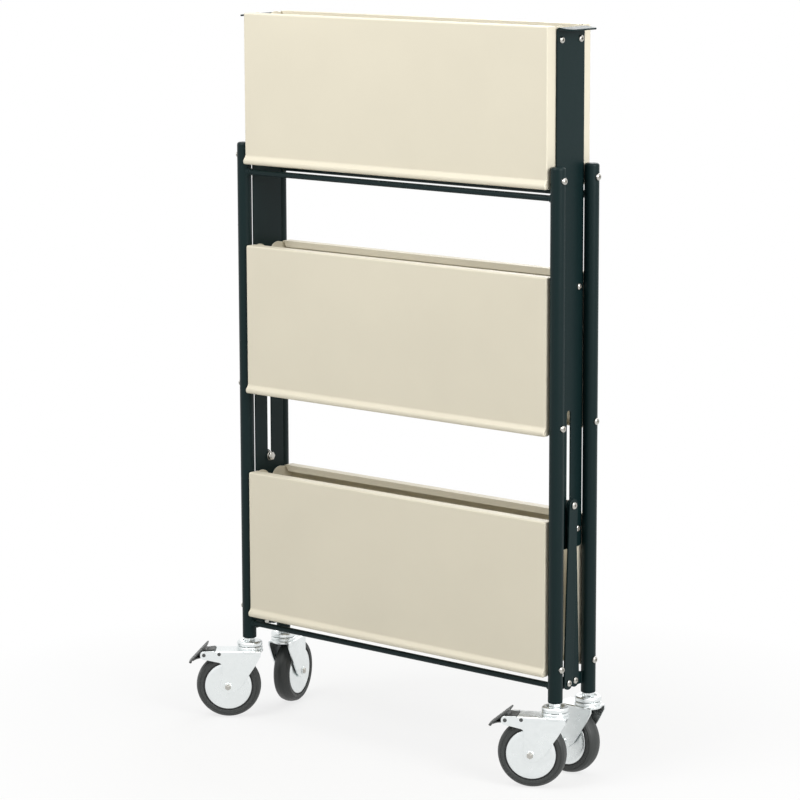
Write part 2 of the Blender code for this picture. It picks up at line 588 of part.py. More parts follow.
def fork(braked):
    """A pressed fork: two sides bent down from a top, with the crown of its swivel bearing."""
    outline = fork_outline(braked)
    flat = FORK_HALF - FORK_BEND
    across = arc((-flat, FORK_TOP - FORK_BEND), FORK_BEND, 180, 90, 2)
    across += arc((flat, FORK_TOP - FORK_BEND), FORK_BEND, 90, 0, 2)
    shape = bmesh.new()
    for width, order in ((-FORK_HALF, -1), (FORK_HALF, 1)):
        shape.faces.new([shape.verts.new((along, width, up)) for along, up in outline][::order])
    rows = [[shape.verts.new((along, width, up)) for width, up in across] for along, _ in outline[:2]]
    for k in range(len(across) - 1):
        shape.faces.new((rows[0][k], rows[1][k], rows[1][k + 1], rows[0][k + 1]))
    body = thickened("fork", shape, FORK_SHEET)

    crown = CROWN_DIAMETER / 2
    round_off = CROWN_RISE / 3
    seat = FORK_TOP - FORK_SHEET / 2
    ring = [(0, seat), (crown, seat), (crown, CROWN_TOP - round_off), (crown - round_off, CROWN_TOP),
            (0, CROWN_TOP)]
    added = [turned("crown", ring, RACE_SIDES)]
    if braked:
        end = FORK_HALF + STOP_PIN_RISE
        pin = rod("stop_pin", STOP_PIN_DIAMETER / 2, -end, end, turn=ALONG_Y)
        added.append(moved(pin, (STOP_PIN_REACH, 0, FORK_TOP - STOP_PIN_DROP)))
    body = combined("fork", body, added, "UNION")

    reach = FORK_HALF + FORK_SHEET
    cuts = [rod("hole", KINGPIN_DIAMETER / 2 + KINGPIN_GAP, FORK_TOP - 2 * FORK_SHEET,
                CROWN_TOP + FORK_SHEET)]
    bore = rod("hole", AXLE_DIAMETER / 2 + TURN_GAP, -reach, reach, turn=ALONG_Y)
    cuts.append(moved(bore, (CASTER_TRAIL, 0, AXLE_Z)))
    if braked:
        hole = rod("hole", PEDAL_PIN_DIAMETER / 2 + TURN_GAP, -reach, reach, turn=ALONG_Y)
        cuts.append(moved(hole, (TAIL_REACH, 0, TAIL_Z)))
    return combined("braked_fork" if braked else "plain_fork", body, cuts, "DIFFERENCE")


def caster_stem():
    """What is fixed in the leg: plug, hexagon under the leg, upper race, and kingpin with its nut."""
    low = CROWN_TOP + SEAT_GAP
    race = RACE_DIAMETER / 2
    round_off = RACE_HEIGHT / 4
    disc = [(0, low), (race - round_off, low), (race, low + round_off), (race, RACE_TOP - 2 * round_off),
            (0.7 * race, RACE_TOP), (0, RACE_TOP)]
    body = turned("caster_stem", disc, RACE_SIDES)

    pin = KINGPIN_DIAMETER / 2
    nut = KINGPIN_NUT_DIAMETER / 2
    under = FORK_TOP - FORK_SHEET - SEAT_GAP
    post_end = low + round_off
    shank = [(0, under - KINGPIN_NUT_HEIGHT), (nut, under - KINGPIN_NUT_HEIGHT), (nut, under), (pin, under),
             (pin, post_end), (0, post_end)]
    kingpin = turned("kingpin", shank, PIN_SIDES)

    top = TUBE_BOTTOM - SEAT_GAP
    hexagon = prism("hexagon", arc((0, 0), STEM_HEX / math.sqrt(3), 0, 300, 5), RACE_TOP - round_off, top)
    inside = TUBE_RADIUS - TUBE_WALL - TURN_GAP
    plug = rod("plug", inside, top - round_off, TUBE_BOTTOM + STEM_PLUG_LENGTH)
    return combined("caster_stem", body, [kingpin, hexagon, plug], "UNION")


def axle():
    half = FORK_HALF + SEAT_GAP
    shank = AXLE_DIAMETER / 2
    head = AXLE_HEAD_DIAMETER / 2
    end = [(shank, half), (head, half), (0.8 * head, half + AXLE_HEAD_HEIGHT), (0, half + AXLE_HEAD_HEIGHT)]
    profile = [(radius, -place) for radius, place in reversed(end)] + end
    return turned("axle", profile, PIN_SIDES, ALONG_Y)


def hub():
    """A wheel centre with a raised boss and a dished disc on each side, bored for the axle."""
    bore = AXLE_DIAMETER / 2 + TURN_GAP
    boss = HUB_BOSS_DIAMETER / 2
    rim = RIM_DIAMETER / 2
    half = HUB_WIDTH / 2
    shoulder = WHEEL_WIDTH / 2
    side = [(bore, half), (boss, half), (rim, shoulder - RIM_INSET)]
    profile = side + [(radius, -z) for radius, z in reversed(side)]
    return turned("hub", profile, WHEEL_SIDES, ALONG_Y, math.pi / WHEEL_SIDES - math.pi / 2, ring=True)


def tyre():
    """A rubber tyre with a crowned tread, round shoulders and a bevel where it meets the wheel centre."""
    seat = (RIM_DIAMETER / 2 + TYRE_SEAT_GAP) / math.cos(math.pi / WHEEL_SIDES)
    half = WHEEL_WIDTH / 2
    wall = WHEEL_RADIUS - seat
    side = [(seat, half - TYRE_BEVEL), (seat + 0.25 * wall, half), (seat + 0.75 * wall, 0.85 * half),
            (WHEEL_RADIUS, 0.4 * half)]
    profile = side + [(radius, -z) for radius, z in reversed(side)]
    return turned("tyre", profile, WHEEL_SIDES, ALONG_Y, math.pi / WHEEL_SIDES - math.pi / 2, ring=True)


def brake_pedal():
    """A toe pedal on the fork's tail: a tilted plate, an arm round the pivot with a tongue, and the pin."""
    tilt = math.radians(PEDAL_TILT)
    along = Vector((-math.cos(tilt), math.sin(tilt)))
    inward = Vector((-math.sin(tilt), -math.cos(tilt)))
    toe = Vector((PEDAL_OUTSIDE, -PEDAL_DIP))
    heel = toe + along * PEDAL_LENGTH
    lower_toe = toe + inward * PEDAL_SHEET
    lower_heel = heel + inward * PEDAL_SHEET
    flat = Matrix(((1, 0, 0), (0, 0, -1), (0, 1, 0)))
    half = PEDAL_WIDTH / 2
    plate = prism("pedal", [toe, heel, lower_heel, lower_toe], -half, half, flat)

    middle = inward * PEDAL_SHEET / 2
    root = toe + along * (PEDAL_ROOT * PEDAL_LENGTH) + middle
    neck = toe + along * (PEDAL_NECK * PEDAL_LENGTH) + middle
    tongue_low = (-TONGUE_REACH, TONGUE_TOP - TONGUE_HEIGHT)
    boss_start = tangent_angle(tongue_low, (0, 0), PEDAL_BOSS_RADIUS, 1)
    boss_end = tangent_angle(root, (0, 0), PEDAL_BOSS_RADIUS, -1)
    outline = [root, neck, (-TONGUE_ROOT, TONGUE_TOP), (-TONGUE_REACH, TONGUE_TOP), tongue_low]
    outline += arc((0, 0), PEDAL_BOSS_RADIUS, boss_start, boss_end + 360, 5)
    arm_half = half - PEDAL_ARM_INSET
    arm = prism("arm", outline, -arm_half, arm_half, flat)

    pin = PEDAL_PIN_DIAMETER / 2
    head = PEDAL_PIN_HEAD / 2
    sleeve = PEDAL_SLEEVE_DIAMETER / 2
    inside = FORK_HALF - FORK_SHEET - SLEEVE_GAP
    side = FORK_HALF + SEAT_GAP
    end = [(sleeve, inside), (pin, inside), (pin, side), (head, side), (head, side + PEDAL_PIN_HEAD_HEIGHT),
           (0, side + PEDAL_PIN_HEAD_HEIGHT)]
    profile = [(radius, -place) for radius, place in reversed(end)] + end
    pivot = turned("pivot", profile, PIN_SIDES, ALONG_Y)
    return combined("brake_pedal", plate, [arm, pivot], "UNION")


def leg_frame(build, looks, meshes, side, parent):
    """One leg frame on its anchor: legs, rails, brackets, hinge screws and its casters' fixed halves."""
    frame_y = SIDES[side] * LEG_Y
    heights = {"upper": HINGE_Z["top"] - UPPER_RAIL_DROP, "lower": HINGE_Z["bottom"] - LOWER_RAIL_DROP}
    for name, height in heights.items():
        build.piece(f"{side}_{name}_rail", meshes["rail"], looks["frame"], parent, (0, frame_y, height))
    for end, sign in ENDS.items():
        corner = f"{side}_{end}"
        x = sign * LEG_X
        facing = HALF_TURN if end == "left" else (0, 0, 0)
        leg = meshes["leg_tube_plugged"] if corner == "front_left" else meshes["leg_tube"]
        build.piece(f"{corner}_leg_tube", leg, looks["frame"], parent, (x, frame_y, 0))
        for level in LEVELS:
            build.piece(f"{corner}_{level}_hinge_screw", meshes["hinge_screw"], looks["zinc"], parent,
                        (x, frame_y, HINGE_Z[level]), facing)
        plate_x = sign * (BRACKET_OUTSIDE - BRACKET_SHEET / 2)
        pivot = (plate_x, SIDES[side] * LINK_PIVOT_OFFSET, LINK_PIVOT_Z)
        inward = HALF_TURN if side == "back" else (0, 0, 0)
        build.piece(f"{corner}_link_bracket", meshes["link_bracket"], looks["frame"], parent, pivot, inward)
        build.piece(f"{corner}_caster_stem", meshes["caster_stem"], looks["zinc"], parent, (x, frame_y, 0))


def caster(build, looks, meshes, corner, frame):
    """The turning half of a caster on its swivel anchor, with its wheel and its pedal on theirs."""
    side, end = corner.split("_")
    at = Vector((ENDS[end] * LEG_X, SIDES[side] * LEG_Y, 0))
    heading = math.radians(HEADINGS[corner])
    ahead = Vector((math.cos(heading), math.sin(heading), 0))
    turn = (0, 0, heading)
    braked = side == "front"
    swivel = build.anchor(f"{corner}_swivel_axis", at, frame)
    kind = "braked_fork" if braked else "plain_fork"
    build.piece(f"{corner}_caster_fork", meshes[kind], looks["zinc"], swivel, at, turn)
    axle_at = at + ahead * CASTER_TRAIL + Vector((0, 0, AXLE_Z))
    build.piece(f"{corner}_caster_axle", meshes["axle"], looks["zinc"], swivel, axle_at, turn)
    spin = build.anchor(f"{corner}_wheel_axis", axle_at, swivel)
    build.piece(f"{corner}_caster_hub", meshes["hub"], looks["zinc"], spin, axle_at, turn)
    build.piece(f"{corner}_caster_tyre", meshes["tyre"], looks["rubber"], spin, axle_at, turn)
    if braked:
        pivot_at = at + ahead * TAIL_REACH + Vector((0, 0, TAIL_Z))
        pivot = build.anchor(f"{corner}_pedal_axis", pivot_at, swivel)
        pressed = (0, math.radians(PRESSED[corner]), heading)
        build.piece(f"{corner}_brake_pedal", meshes["brake_pedal"], looks["pedal"], pivot, pivot_at, pressed)


def centre_on_footprint(root):
    """Moves the whole trolley so that the origin is the middle of the box it fills on the floor."""
    bpy.context.view_layer.update()
    points = []
    for obj in bpy.data.objects:
        if obj.type == "MESH":
            points += [obj.matrix_world @ vertex.co for vertex in obj.data.vertices]
    for axis in (0, 1):
        values = [point[axis] for point in points]
        root.location[axis] = -(min(values) + max(values)) / 2


def main():
    clear_scene()
    looks = {
        "shelf": material("cream powder coat", (0.745, 0.687, 0.527), 0.45, 0.0),
        "frame": material("dark green grey powder coat", (0.021, 0.035, 0.036), 0.4, 0.0),
        "zinc": material("zinc plated steel", (0.66, 0.69, 0.7), 0.3, 1.0),
        "rubber": material("grey black rubber", (0.04, 0.043, 0.042), 0.7, 0.0),
        "pedal": material("dark grey pedal", (0.06, 0.064, 0.064), 0.5, 0.0),
    }
    meshes = {
        "half_shelf": half_shelf(),
        "leg_tube": leg_tube(False),
        "leg_tube_plugged": leg_tube(True),
        "hinge_screw": hinge_screw(),
        "link_bracket": link_bracket(),
        "rail": rail(),
        "post": post(),
        "outer_link": link(OUTER_LINK, True),
        "inner_link": link(INNER_LINK, False),
        "slot_bolt": slot_bolt(),
        "braked_fork": fork(True),
        "plain_fork": fork(False),
        "caster_stem": caster_stem(),
        "axle": axle(),
        "hub": hub(),
        "tyre": tyre(),
        "brake_pedal": brake_pedal(),
    }
    build = Assembly()
    root = build.anchor("trolley", (0, 0, 0))
    front = build.anchor("front_frame", (0, -LEG_Y, 0), root)
    leg_frame(build, looks, meshes, "front", front)

    upright = math.pi / 2
    hinges = {}
    for level in LEVELS:
        at = (0, -LEG_Y, HINGE_Z[level])
        hinges[level] = build.anchor(f"front_{level}_shelf_axis", at, front)
        build.piece(f"front_{level}_half_shelf", meshes["half_shelf"], looks["shelf"], hinges[level], at,
                    (upright, 0, 0))

    centre = build.anchor("centre_posts_axis", (0, -POST_HINGE_Y, POST_HINGE_Z["top"]), hinges["top"])
    build.piece("right_post", meshes["post"], looks["frame"], centre, (0, 0, 0))
    build.piece("left_post", meshes["post"], looks["frame"], centre, (0, 0, 0), HALF_TURN)
    slide = build.anchor("slot_bolts_axis", (0, 0, APEX_Z), centre)
    build.piece("right_slot_bolt", meshes["slot_bolt"], looks["zinc"], slide, (0, 0, APEX_Z))
    build.piece("left_slot_bolt", meshes["slot_bolt"], looks["zinc"], slide, (0, 0, APEX_Z), HALF_TURN)

    for level in LEVELS:
        hinge = build.anchor(f"back_{level}_shelf_axis", (0, POST_HINGE_Y, POST_HINGE_Z[level]), centre)
        build.piece(f"back_{level}_half_shelf", meshes["half_shelf"], looks["shelf"], hinge,
                    (0, LEG_Y, HINGE_Z[level]), (upright, 0, math.pi))
        hinges[f"back_{level}"] = hinge
    back = build.anchor("back_frame_axis", (0, LEG_Y, HINGE_Z["top"]), hinges["back_top"])
    leg_frame(build, looks, meshes, "back", back)

    for side, frame in (("front", front), ("back", back)):
        axis = build.anchor(f"{side}_links_axis", (0, SIDES[side] * LINK_PIVOT_OFFSET, LINK_PIVOT_Z), frame)
        for end, sign in ENDS.items():
            kind = "outer_link" if (side == "front") == (end == "right") else "inner_link"
            lean = (SIDES[side] * sign * LINK_LEAN, 0, 0 if end == "right" else math.pi)
            build.piece(f"{side}_{end}_link", meshes[kind], looks["frame"], axis, (0, 0, APEX_Z), lean)
        for end in ENDS:
            caster(build, looks, meshes, f"{side}_{end}", frame)
    centre_on_footprint(root)


main()
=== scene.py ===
"""Dresses the folding shelf trolley: smooth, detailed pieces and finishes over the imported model.

Every piece is modelled in metres. Most shapes are drawn in the trolley's own frame, whose origin is the
floor under the middle of the posts, for the right end and the front, and half turned for the others.
"""

import json
import math

import bmesh
import bpy
from bmesh.types import BMEdge, BMVert
from mathutils import Matrix, Vector


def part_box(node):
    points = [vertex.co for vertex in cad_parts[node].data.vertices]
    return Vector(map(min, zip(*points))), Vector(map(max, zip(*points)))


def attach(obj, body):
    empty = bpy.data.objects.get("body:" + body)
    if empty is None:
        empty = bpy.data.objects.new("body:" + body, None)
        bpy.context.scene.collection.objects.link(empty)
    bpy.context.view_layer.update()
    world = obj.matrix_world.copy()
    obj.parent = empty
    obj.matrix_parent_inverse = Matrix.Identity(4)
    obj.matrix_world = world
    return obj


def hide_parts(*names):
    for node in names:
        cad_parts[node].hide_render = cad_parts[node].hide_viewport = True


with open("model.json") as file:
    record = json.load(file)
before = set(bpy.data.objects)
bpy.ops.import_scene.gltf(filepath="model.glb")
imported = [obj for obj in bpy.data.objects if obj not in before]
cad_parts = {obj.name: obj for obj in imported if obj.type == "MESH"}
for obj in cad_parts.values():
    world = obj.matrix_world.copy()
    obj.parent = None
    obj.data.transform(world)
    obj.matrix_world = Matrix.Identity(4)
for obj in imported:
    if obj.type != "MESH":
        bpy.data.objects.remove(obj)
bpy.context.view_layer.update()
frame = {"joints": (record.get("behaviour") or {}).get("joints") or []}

bl_info = {
    "name": "Folding Shelf Trolley",
    "version": (1, 0, 0),
    "blender": (4, 5, 0),
    "location": "3D View > Sidebar > Trolley",
    "description": "Models the pieces of a folding shelf trolley and sets a studio stage for it",
    "category": "Object",
}

MM = 0.001
JOINT = {joint["name"]: joint for joint in frame["joints"]}
AXIS = {name: Vector(joint["pos_m"]) for name, joint in JOINT.items() if "pos_m" in joint}

LEVELS = {"bottom": "front_bottom_shelf_hinge", "middle": "front_middle_shelf_hinge", "top": "fold"}
SIDES = ("front", "back")
# The leg frame that each corner belongs to
FRAME_OF = {f"{side}_{end}": f"{side}_frame" for side in SIDES for end in ("right", "left")}
CORNERS = list(FRAME_OF)
BRAKED = [corner for corner in CORNERS if f"{corner}_pedal_hinge" in AXIS]

# Places that the frame gives, in the trolley's own frame
ORIGIN = (AXIS["posts_hinge"] + AXIS["back_top_shelf_hinge"]) / 2
MIDDLE = Matrix.Translation((ORIGIN.x, ORIGIN.y, 0))
HOMES = {"right": MIDDLE, "left": MIDDLE @ Matrix.Rotation(math.pi, 4, "Z")}
LEG_X = AXIS["front_right_swivel"].x - ORIGIN.x
LEG_Y = ORIGIN.y - AXIS["fold"].y
HINGE_Z = {level: AXIS[joint].z for level, joint in LEVELS.items()}
POST_HINGE_Y = ORIGIN.y - AXIS["posts_hinge"].y
POST_HINGE_Z = [AXIS[f"back_{level}_shelf_hinge"].z for level in LEVELS]
HINGE_SPAN = AXIS["posts_hinge"].z - AXIS["fold"].z
HINGE_DROP = LEG_Y - POST_HINGE_Y
APEX_Z = sum(corner.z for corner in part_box("right_slot_bolt")) / 2
LINK_PIVOT_Y = ORIGIN.y - AXIS["front_links_hinge"].y
LINK_PIVOT_Z = AXIS["front_links_hinge"].z
SHELF_LOW, SHELF_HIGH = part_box("front_top_half_shelf")
SHELF_HALF = (SHELF_HIGH.x - SHELF_LOW.x) / 2
SHELF_EDGE = SHELF_HIGH.z - HINGE_Z["top"]
TUBE_LOW, TUBE_HIGH = [corner.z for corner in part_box("front_right_leg_tube")]
POST_LOW, POST_HIGH = [corner.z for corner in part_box("right_post")]
AXLE_Z = AXIS["front_left_wheel_spin"].z
TRAIL = (AXIS["front_left_wheel_spin"] - AXIS["front_left_swivel"]).to_2d().length
TAIL = (AXIS["front_left_pedal_hinge"] - AXIS["front_left_swivel"]).to_2d().length
TAIL_Z = AXIS["front_left_pedal_hinge"].z
CROWN_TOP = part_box("back_right_caster_fork")[1].z

WELD = 0.01 * MM
# Edges that turn by more than this are sharp
CREASE = math.radians(50)
# Two arcs that meet keep a short straight line between them, because each takes this share of its radius
ARC_SHARE = 0.98
UP = Vector((0, 0, 1))
RIGHT = Vector((1, 0, 0))
TO_X = Matrix.Rotation(math.pi / 2, 4, "Y")
TO_Y = Matrix.Rotation(-math.pi / 2, 4, "X")
PLANES = {
    "XZ": lambda across, up: Vector((across, 0, up)),
    "YZ": lambda across, up: Vector((0, across, up)),
    "XY": lambda across, up: Vector((across, up, 0)),
}


def linear(hex_colour):
    """The linear red, green and blue of an sRGB colour written in hex."""
    values = [int(hex_colour[k:k + 2], 16) / 255 for k in (1, 3, 5)]
    return [value / 12.92 if value <= 0.04045 else ((value + 0.055) / 1.055) ** 2.4 for value in values]


def length(name, millimetres, description):
    """A size that can be changed in the sidebar."""
    return bpy.props.FloatProperty(
        name=name, description=description, default=millimetres * MM, min=0.0, precision=4, unit="LENGTH")


def angle(name, degrees, description):
    """An angle that can be changed in the sidebar."""
    return bpy.props.FloatProperty(
        name=name, description=description, default=math.radians(degrees), subtype="ANGLE")


def colour(name, hex_colour, description):
    """A colour that can be changed in the sidebar."""
    return bpy.props.FloatVectorProperty(
        name=name, description=description, default=linear(hex_colour), min=0.0, max=1.0, size=3,
        subtype="COLOR")


def group(name, kind, description):
    """A group of values."""
    return bpy.props.PointerProperty(name=name, description=description, type=kind)


class ShelfSizes(bpy.types.PropertyGroup):
    """Sizes of the pressed half shelves"""

    sheet: length("Sheet", 1.5, "Thickness of the steel sheet")
    bead_width: length("Bead Width", 13.0, "Width of the rolled lip along the outer edge")
    bead_rise: length("Bead Rise", 5.2, "Height of the rolled lip over the shelf")
    bead_round: length("Bead Round", 4.2, "Outer radius of the rolled lip")
    bead_slope: length("Bead Slope", 6.0, "Width of the slope from the rolled lip down to the shelf")
    bead_foot: length("Bead Foot", 5.0, "Radius of the bends at both ends of that slope")
    hem: length("Hem", 6.0, "Depth of the rolled lip's edge below the shelf")
    inner_bend: length("Inner Bend", 2.5, "Outer radius of the bend at the inner edge")
    side_bend: length("Side Bend", 2.0, "Outer radius of the bends to the side flanges")
    inner_flange: length("Inner Flange", 18.0, "Depth of the flange along the inner edge")
    return_lip: length("Return Lip", 10.0, "Width of the lip turned back under the shelf")
    lip_relief: length("Lip Relief", 6.0, "Corner cut at each end of the return lip")
    outer_boss: length("Outer Boss", 10.0, "Radius of the side flange round the outer hinge")
    inner_boss: length("Inner Boss", 20.0, "Radius of the side flange round the inner hinge")


class FrameSizes(bpy.types.PropertyGroup):
    """Sizes of the legs, rails, posts and links"""

    tube: length("Tube", 22.0, "Diameter of the leg tubes")
    wall: length("Wall", 1.5, "Thickness of the leg tubes' wall")
    tube_round: length("Tube Top", 4.0, "Radius of the leg tubes' closed top")
    plug_height: length("Plug Height", 790.0, "Height of the small plug in the front left leg")
    rail: length("Rail", 9.0, "Diameter of the rails")
    rail_weld: length("Rail Weld", 2.0, "Leg of the fillet weld round a rail's end")
    post_width: length("Post Width", 64.0, "Width of the posts")
    post_sheet: length("Post Sheet", 2.5, "Thickness of the posts")
    post_gap: length("Post Gap", 1.0, "Room between the half shelves' ends and the posts")
    post_chamfer: length("Post Chamfer", 4.0, "Chamfer of the posts' lower corners")
    tab_reach: length("Tab Reach", 22.5, "Reach of the handle tabs at the top of the posts")
    tab_bend: length("Tab Bend", 3.0, "Inner radius of the handle tabs' bend")
    tab_corner: length("Tab Corner", 12.0, "Larger corner radius of the handle tabs")
    tab_droop: angle("Tab Droop", 7.0, "How far the handle tabs bend past level")
    link_width: length("Link Width", 20.0, "Width of the links")
    link_sheet: length("Link Sheet", 3.0, "Thickness of the links and of their brackets")
    seat_gap: length("Seat Gap", 0.3, "Room between pieces that rest on each other")


class FastenerSizes(bpy.types.PropertyGroup):
    """Sizes of the screws, rivets and bolts"""

    head: length("Head", 10.4, "Diameter of the button heads")
    head_height: length("Head Height", 3.0, "Height of the button heads")
    socket: length("Socket", 4.0, "Hexagon socket of the button heads, across its flats")
    shank: length("Shank", 6.0, "Diameter of the hinge screws and rivets")
    nut: length("Nut", 9.5, "Hinge nuts, across their flats")
    nut_height: length("Nut Height", 4.0, "Height of the hinge nuts")
    slot_bolt: length("Slot Bolt", 8.0, "Diameter of the bolts in the posts' slots")
    slot_nut: length("Slot Nut", 12.0, "Nuts of the slot bolts, across their flats")
    collar: length("Collar", 16.0, "Diameter of the collars outside the posts' slots")


class CasterSizes(bpy.types.PropertyGroup):
    """Sizes of the casters and brake pedals"""

    crown: length("Crown", 42.4, "Diameter of the swivel heads' lower ring")
    crown_rise: length("Crown Rise", 6.0, "Height of the swivel heads' lower ring over the forks' top")
    race: length("Race", 40.4, "Diameter of the swivel heads' upper ring")
    race_height: length("Race Height", 8.0, "Height of the swivel heads' upper ring")
    stem_hex: length("Stem Hexagon", 17.0, "Hexagon under the legs, across its flats")
    fork_width: length("Fork Width", 37.6, "Width over the sides of the forks")
    fork_sheet: length("Fork Sheet", 2.5, "Thickness of the forks' sheet")
    fork_bend: length("Fork Bend", 3.0, "Outer radius of the bends along the forks' top")
    fork_front: length("Fork Front", 18.5, "Front edge of the forks from the swivel axis")
    fork_boss: length("Fork Boss", 10.5, "Radius of the forks' legs round the axle")
    leg_back: length("Leg Back", 9.5, "Back edge of the forks' legs behind the axle")
    tail_radius: length("Tail Radius", 6.0, "Radius of the braked forks' tail")
    tail_depth: length("Tail Depth", 19.8, "Inner corner under the tail, below the forks' top")
    stop_reach: length("Stop Rivet", 47.6, "Rivet in front of the tail, from the swivel axis")
    rivet_head: length("Rivet Head", 5.8, "Diameter of the heads of the forks' rivets")
    disc: length("Disc", 75.0, "Diameter of the wheels' bright disc")
    rim: length("Rim", 80.0, "Outer diameter of the black ring round the disc")
    hub_width: length("Hub Width", 31.0, "Width of the wheels over the hub")
    tyre_width: length("Tyre Width", 27.0, "Width of the tyres")
    axle: length("Axle", 8.0, "Diameter of the axles")
    pedal_length: length("Pedal Length", 44.3, "Length of the pedals' plate")
    pedal_width: length("Pedal Width", 26.0, "Width of the pedals' plate")
    pedal_sheet: length("Pedal Sheet", 2.0, "Thickness of the pedals' plate")
    pedal_tilt: angle("Pedal Tilt", 39.4, "Tilt of the pedals' plate when it is not pressed")


class FinishColours(bpy.types.PropertyGroup):
    """Colours of the finishes and of the stage"""

    shelf: colour("Shelves", "#DBD4C0", "Cream powder coat of the half shelves")
    frame: colour("Frame", "#0E2021", "Dark green grey powder coat of the legs, posts, links and rails")
    zinc: colour("Zinc", "#EAEEEE", "Bright zinc plate of the casters")
    fastener: colour("Fasteners", "#BDBBB5", "Nickel plate of the screws and rivets")
    tyre: colour("Tyres", "#2F3231", "Grey black rubber of the tyres")
    rim: colour("Rim Rings", "#131414", "Black plastic between a tyre and its disc")
    pedal: colour("Pedals", "#3F4140", "Dark grey coat of the brake pedals")
    floor: colour("Floor", "#D8D8D6", "Floor of the stage")


class TrolleySettings(bpy.types.PropertyGroup):
    """All sizes and colours of the trolley"""

    shelves: group("Shelves", ShelfSizes, "Half shelf sizes")
    frames: group("Frames", FrameSizes, "Leg, post and link sizes")
    fasteners: group("Fasteners", FastenerSizes, "Screw sizes")
    casters: group("Casters", CasterSizes, "Caster sizes")
    colours: group("Colours", FinishColours, "Finish colours")


# Shapes

def only(kind, items):
    """The vertices, or the edges, among what a step has made."""
    return [item for item in items if isinstance(item, kind)]


def edges_at(shape, axis, place):
    """The edges that lie wholly at one place on an axis, which is 0, 1 or 2."""
    return [edge for edge in shape.edges if all(abs(vert.co[axis] - place) < WELD for vert in edge.verts)]


def rounded(shape, geom, offset, segments, affect="EDGES", **options):
    """Rounds edges or corners of a shape."""
    bmesh.ops.bevel(shape, geom=geom, offset=offset, offset_type="OFFSET", segments=segments, profile=0.5,
                    affect=affect, material=-1, **options)


def drawn(corners, plane="XZ", closed=False, segments=5):
    """A new shape with one line through corner points. Each corner is (across, up, radius that rounds it)."""
    shape = bmesh.new()
    points = [PLANES[plane](across, up) for across, up, _ in corners]
    verts = [shape.verts.new(point) for point in points]
    for k in range(len(verts) - (not closed)):
        shape.edges.new((verts[k], verts[(k + 1) % len(verts)]))
    for k, (_, _, radius) in enumerate(corners):
        if radius:
            before = points[k - 1] - points[k]
            after = points[(k + 1) % len(points)] - points[k]
            rounded(shape, [verts[k]], radius / math.tan(before.angle(after) / 2), segments, "VERTICES")
    bmesh.ops.remove_doubles(shape, verts=shape.verts, dist=WELD)
    return shape


def flat(corners, plane, segments):
    """A face inside a closed line through corner points."""
    shape = drawn(corners, plane, closed=True, segments=segments)
    bmesh.ops.contextual_create(shape, geom=shape.edges[:])
    return shape


def mirrored(corners):
    """Corners on the other side of zero, in the opposite order."""
    return [(across, -along, rounding) for across, along, rounding in reversed(corners)]


def in_mm(*corners):
    """Corners that are written in millimetres."""
    return [tuple(value * MM for value in corner) for corner in corners]


def closed_up(shape):
    """Welds a shape's seams and turns its faces outwards."""
    bmesh.ops.remove_doubles(shape, verts=shape.verts, dist=WELD)
    bmesh.ops.dissolve_degenerate(shape, edges=shape.edges, dist=WELD / 2)
    bmesh.ops.recalc_face_normals(shape, faces=shape.faces)
    return shape


def turned(corners, steps, closed=False, segments=5):
    """A turned piece: a line of (radius, height, rounding) corners spun round the Z axis."""
    shape = drawn(corners, closed=closed, segments=segments)
    bmesh.ops.spin(shape, geom=shape.verts[:] + shape.edges[:], cent=(0, 0, 0), axis=(0, 0, 1),
                   angle=2 * math.pi, steps=steps, use_merge=True)
    return closed_up(shape)


def pulled(shape, edges, reach):
    """Pulls edges along a vector into faces. Gives the far vertices, and the edges that were made."""
    made = bmesh.ops.extrude_edge_only(shape, edges=edges)["geom"]
    far = only(BMVert, made)
    bmesh.ops.translate(shape, vec=reach, verts=far)
    return far, only(BMEdge, made)


def folded(shape, edges, centre, axis, bend, steps, reach):
    """Bends a sheet on from some edges, and then on along a vector. Gives the far vertices."""
    made = bmesh.ops.spin(shape, geom=edges, cent=centre, axis=axis, angle=bend, steps=steps)
    return pulled(shape, only(BMEdge, made["geom_last"]), reach)[0]


def raised(shape, depth):
    """Pulls the faces of a flat shape along a vector into a solid."""
    made = bmesh.ops.extrude_face_region(shape, geom=shape.faces[:])
    bmesh.ops.translate(shape, vec=depth, verts=only(BMVert, made["geom"]))
    return closed_up(shape)


def doubled(shape):
    """Adds to a shape its mirror image in Y."""
    everything = shape.verts[:] + shape.edges[:] + shape.faces[:]
    bmesh.ops.mirror(shape, geom=everything, matrix=Matrix.Identity(4), merge_dist=WELD, axis="Y")
    return shape


def plate(corners, depth, plane="YZ", segments=6):
    """A solid plate: a closed outline with rounded corners, pulled along a vector."""
    return raised(flat(corners, plane, segments), depth)


def soften(shape, width):
    """Rounds the sharp edges of a shape."""
    sharp = [edge for edge in shape.edges if edge.calc_face_angle(0.0) > CREASE]
    rounded(shape, sharp, width, segments=2, clamp_overlap=True)
    return shape


def thickened(shape, thickness, outside, rim):
    """Sheet metal: thickens a surface inwards and rounds its rim.

    The outside is the side that the largest face across the given direction shows to it.
    """
    closed_up(shape)
    guide = max(shape.faces, key=lambda face: abs(face.normal.dot(outside)) * face.calc_area())
    if guide.normal.dot(outside) < 0:
        bmesh.ops.reverse_faces(shape, faces=shape.faces[:])
    bmesh.ops.solidify(shape, geom=shape.faces[:], thickness=thickness)
    return soften(shape, rim)


def shift(x=0.0, y=0.0, z=0.0):
    return Matrix.Translation((x, y, z))


def placed(shape, *steps):
    """Takes a shape through transforms, the first one first."""
    for step in steps:
        bmesh.ops.transform(shape, matrix=step, verts=shape.verts)
    return shape


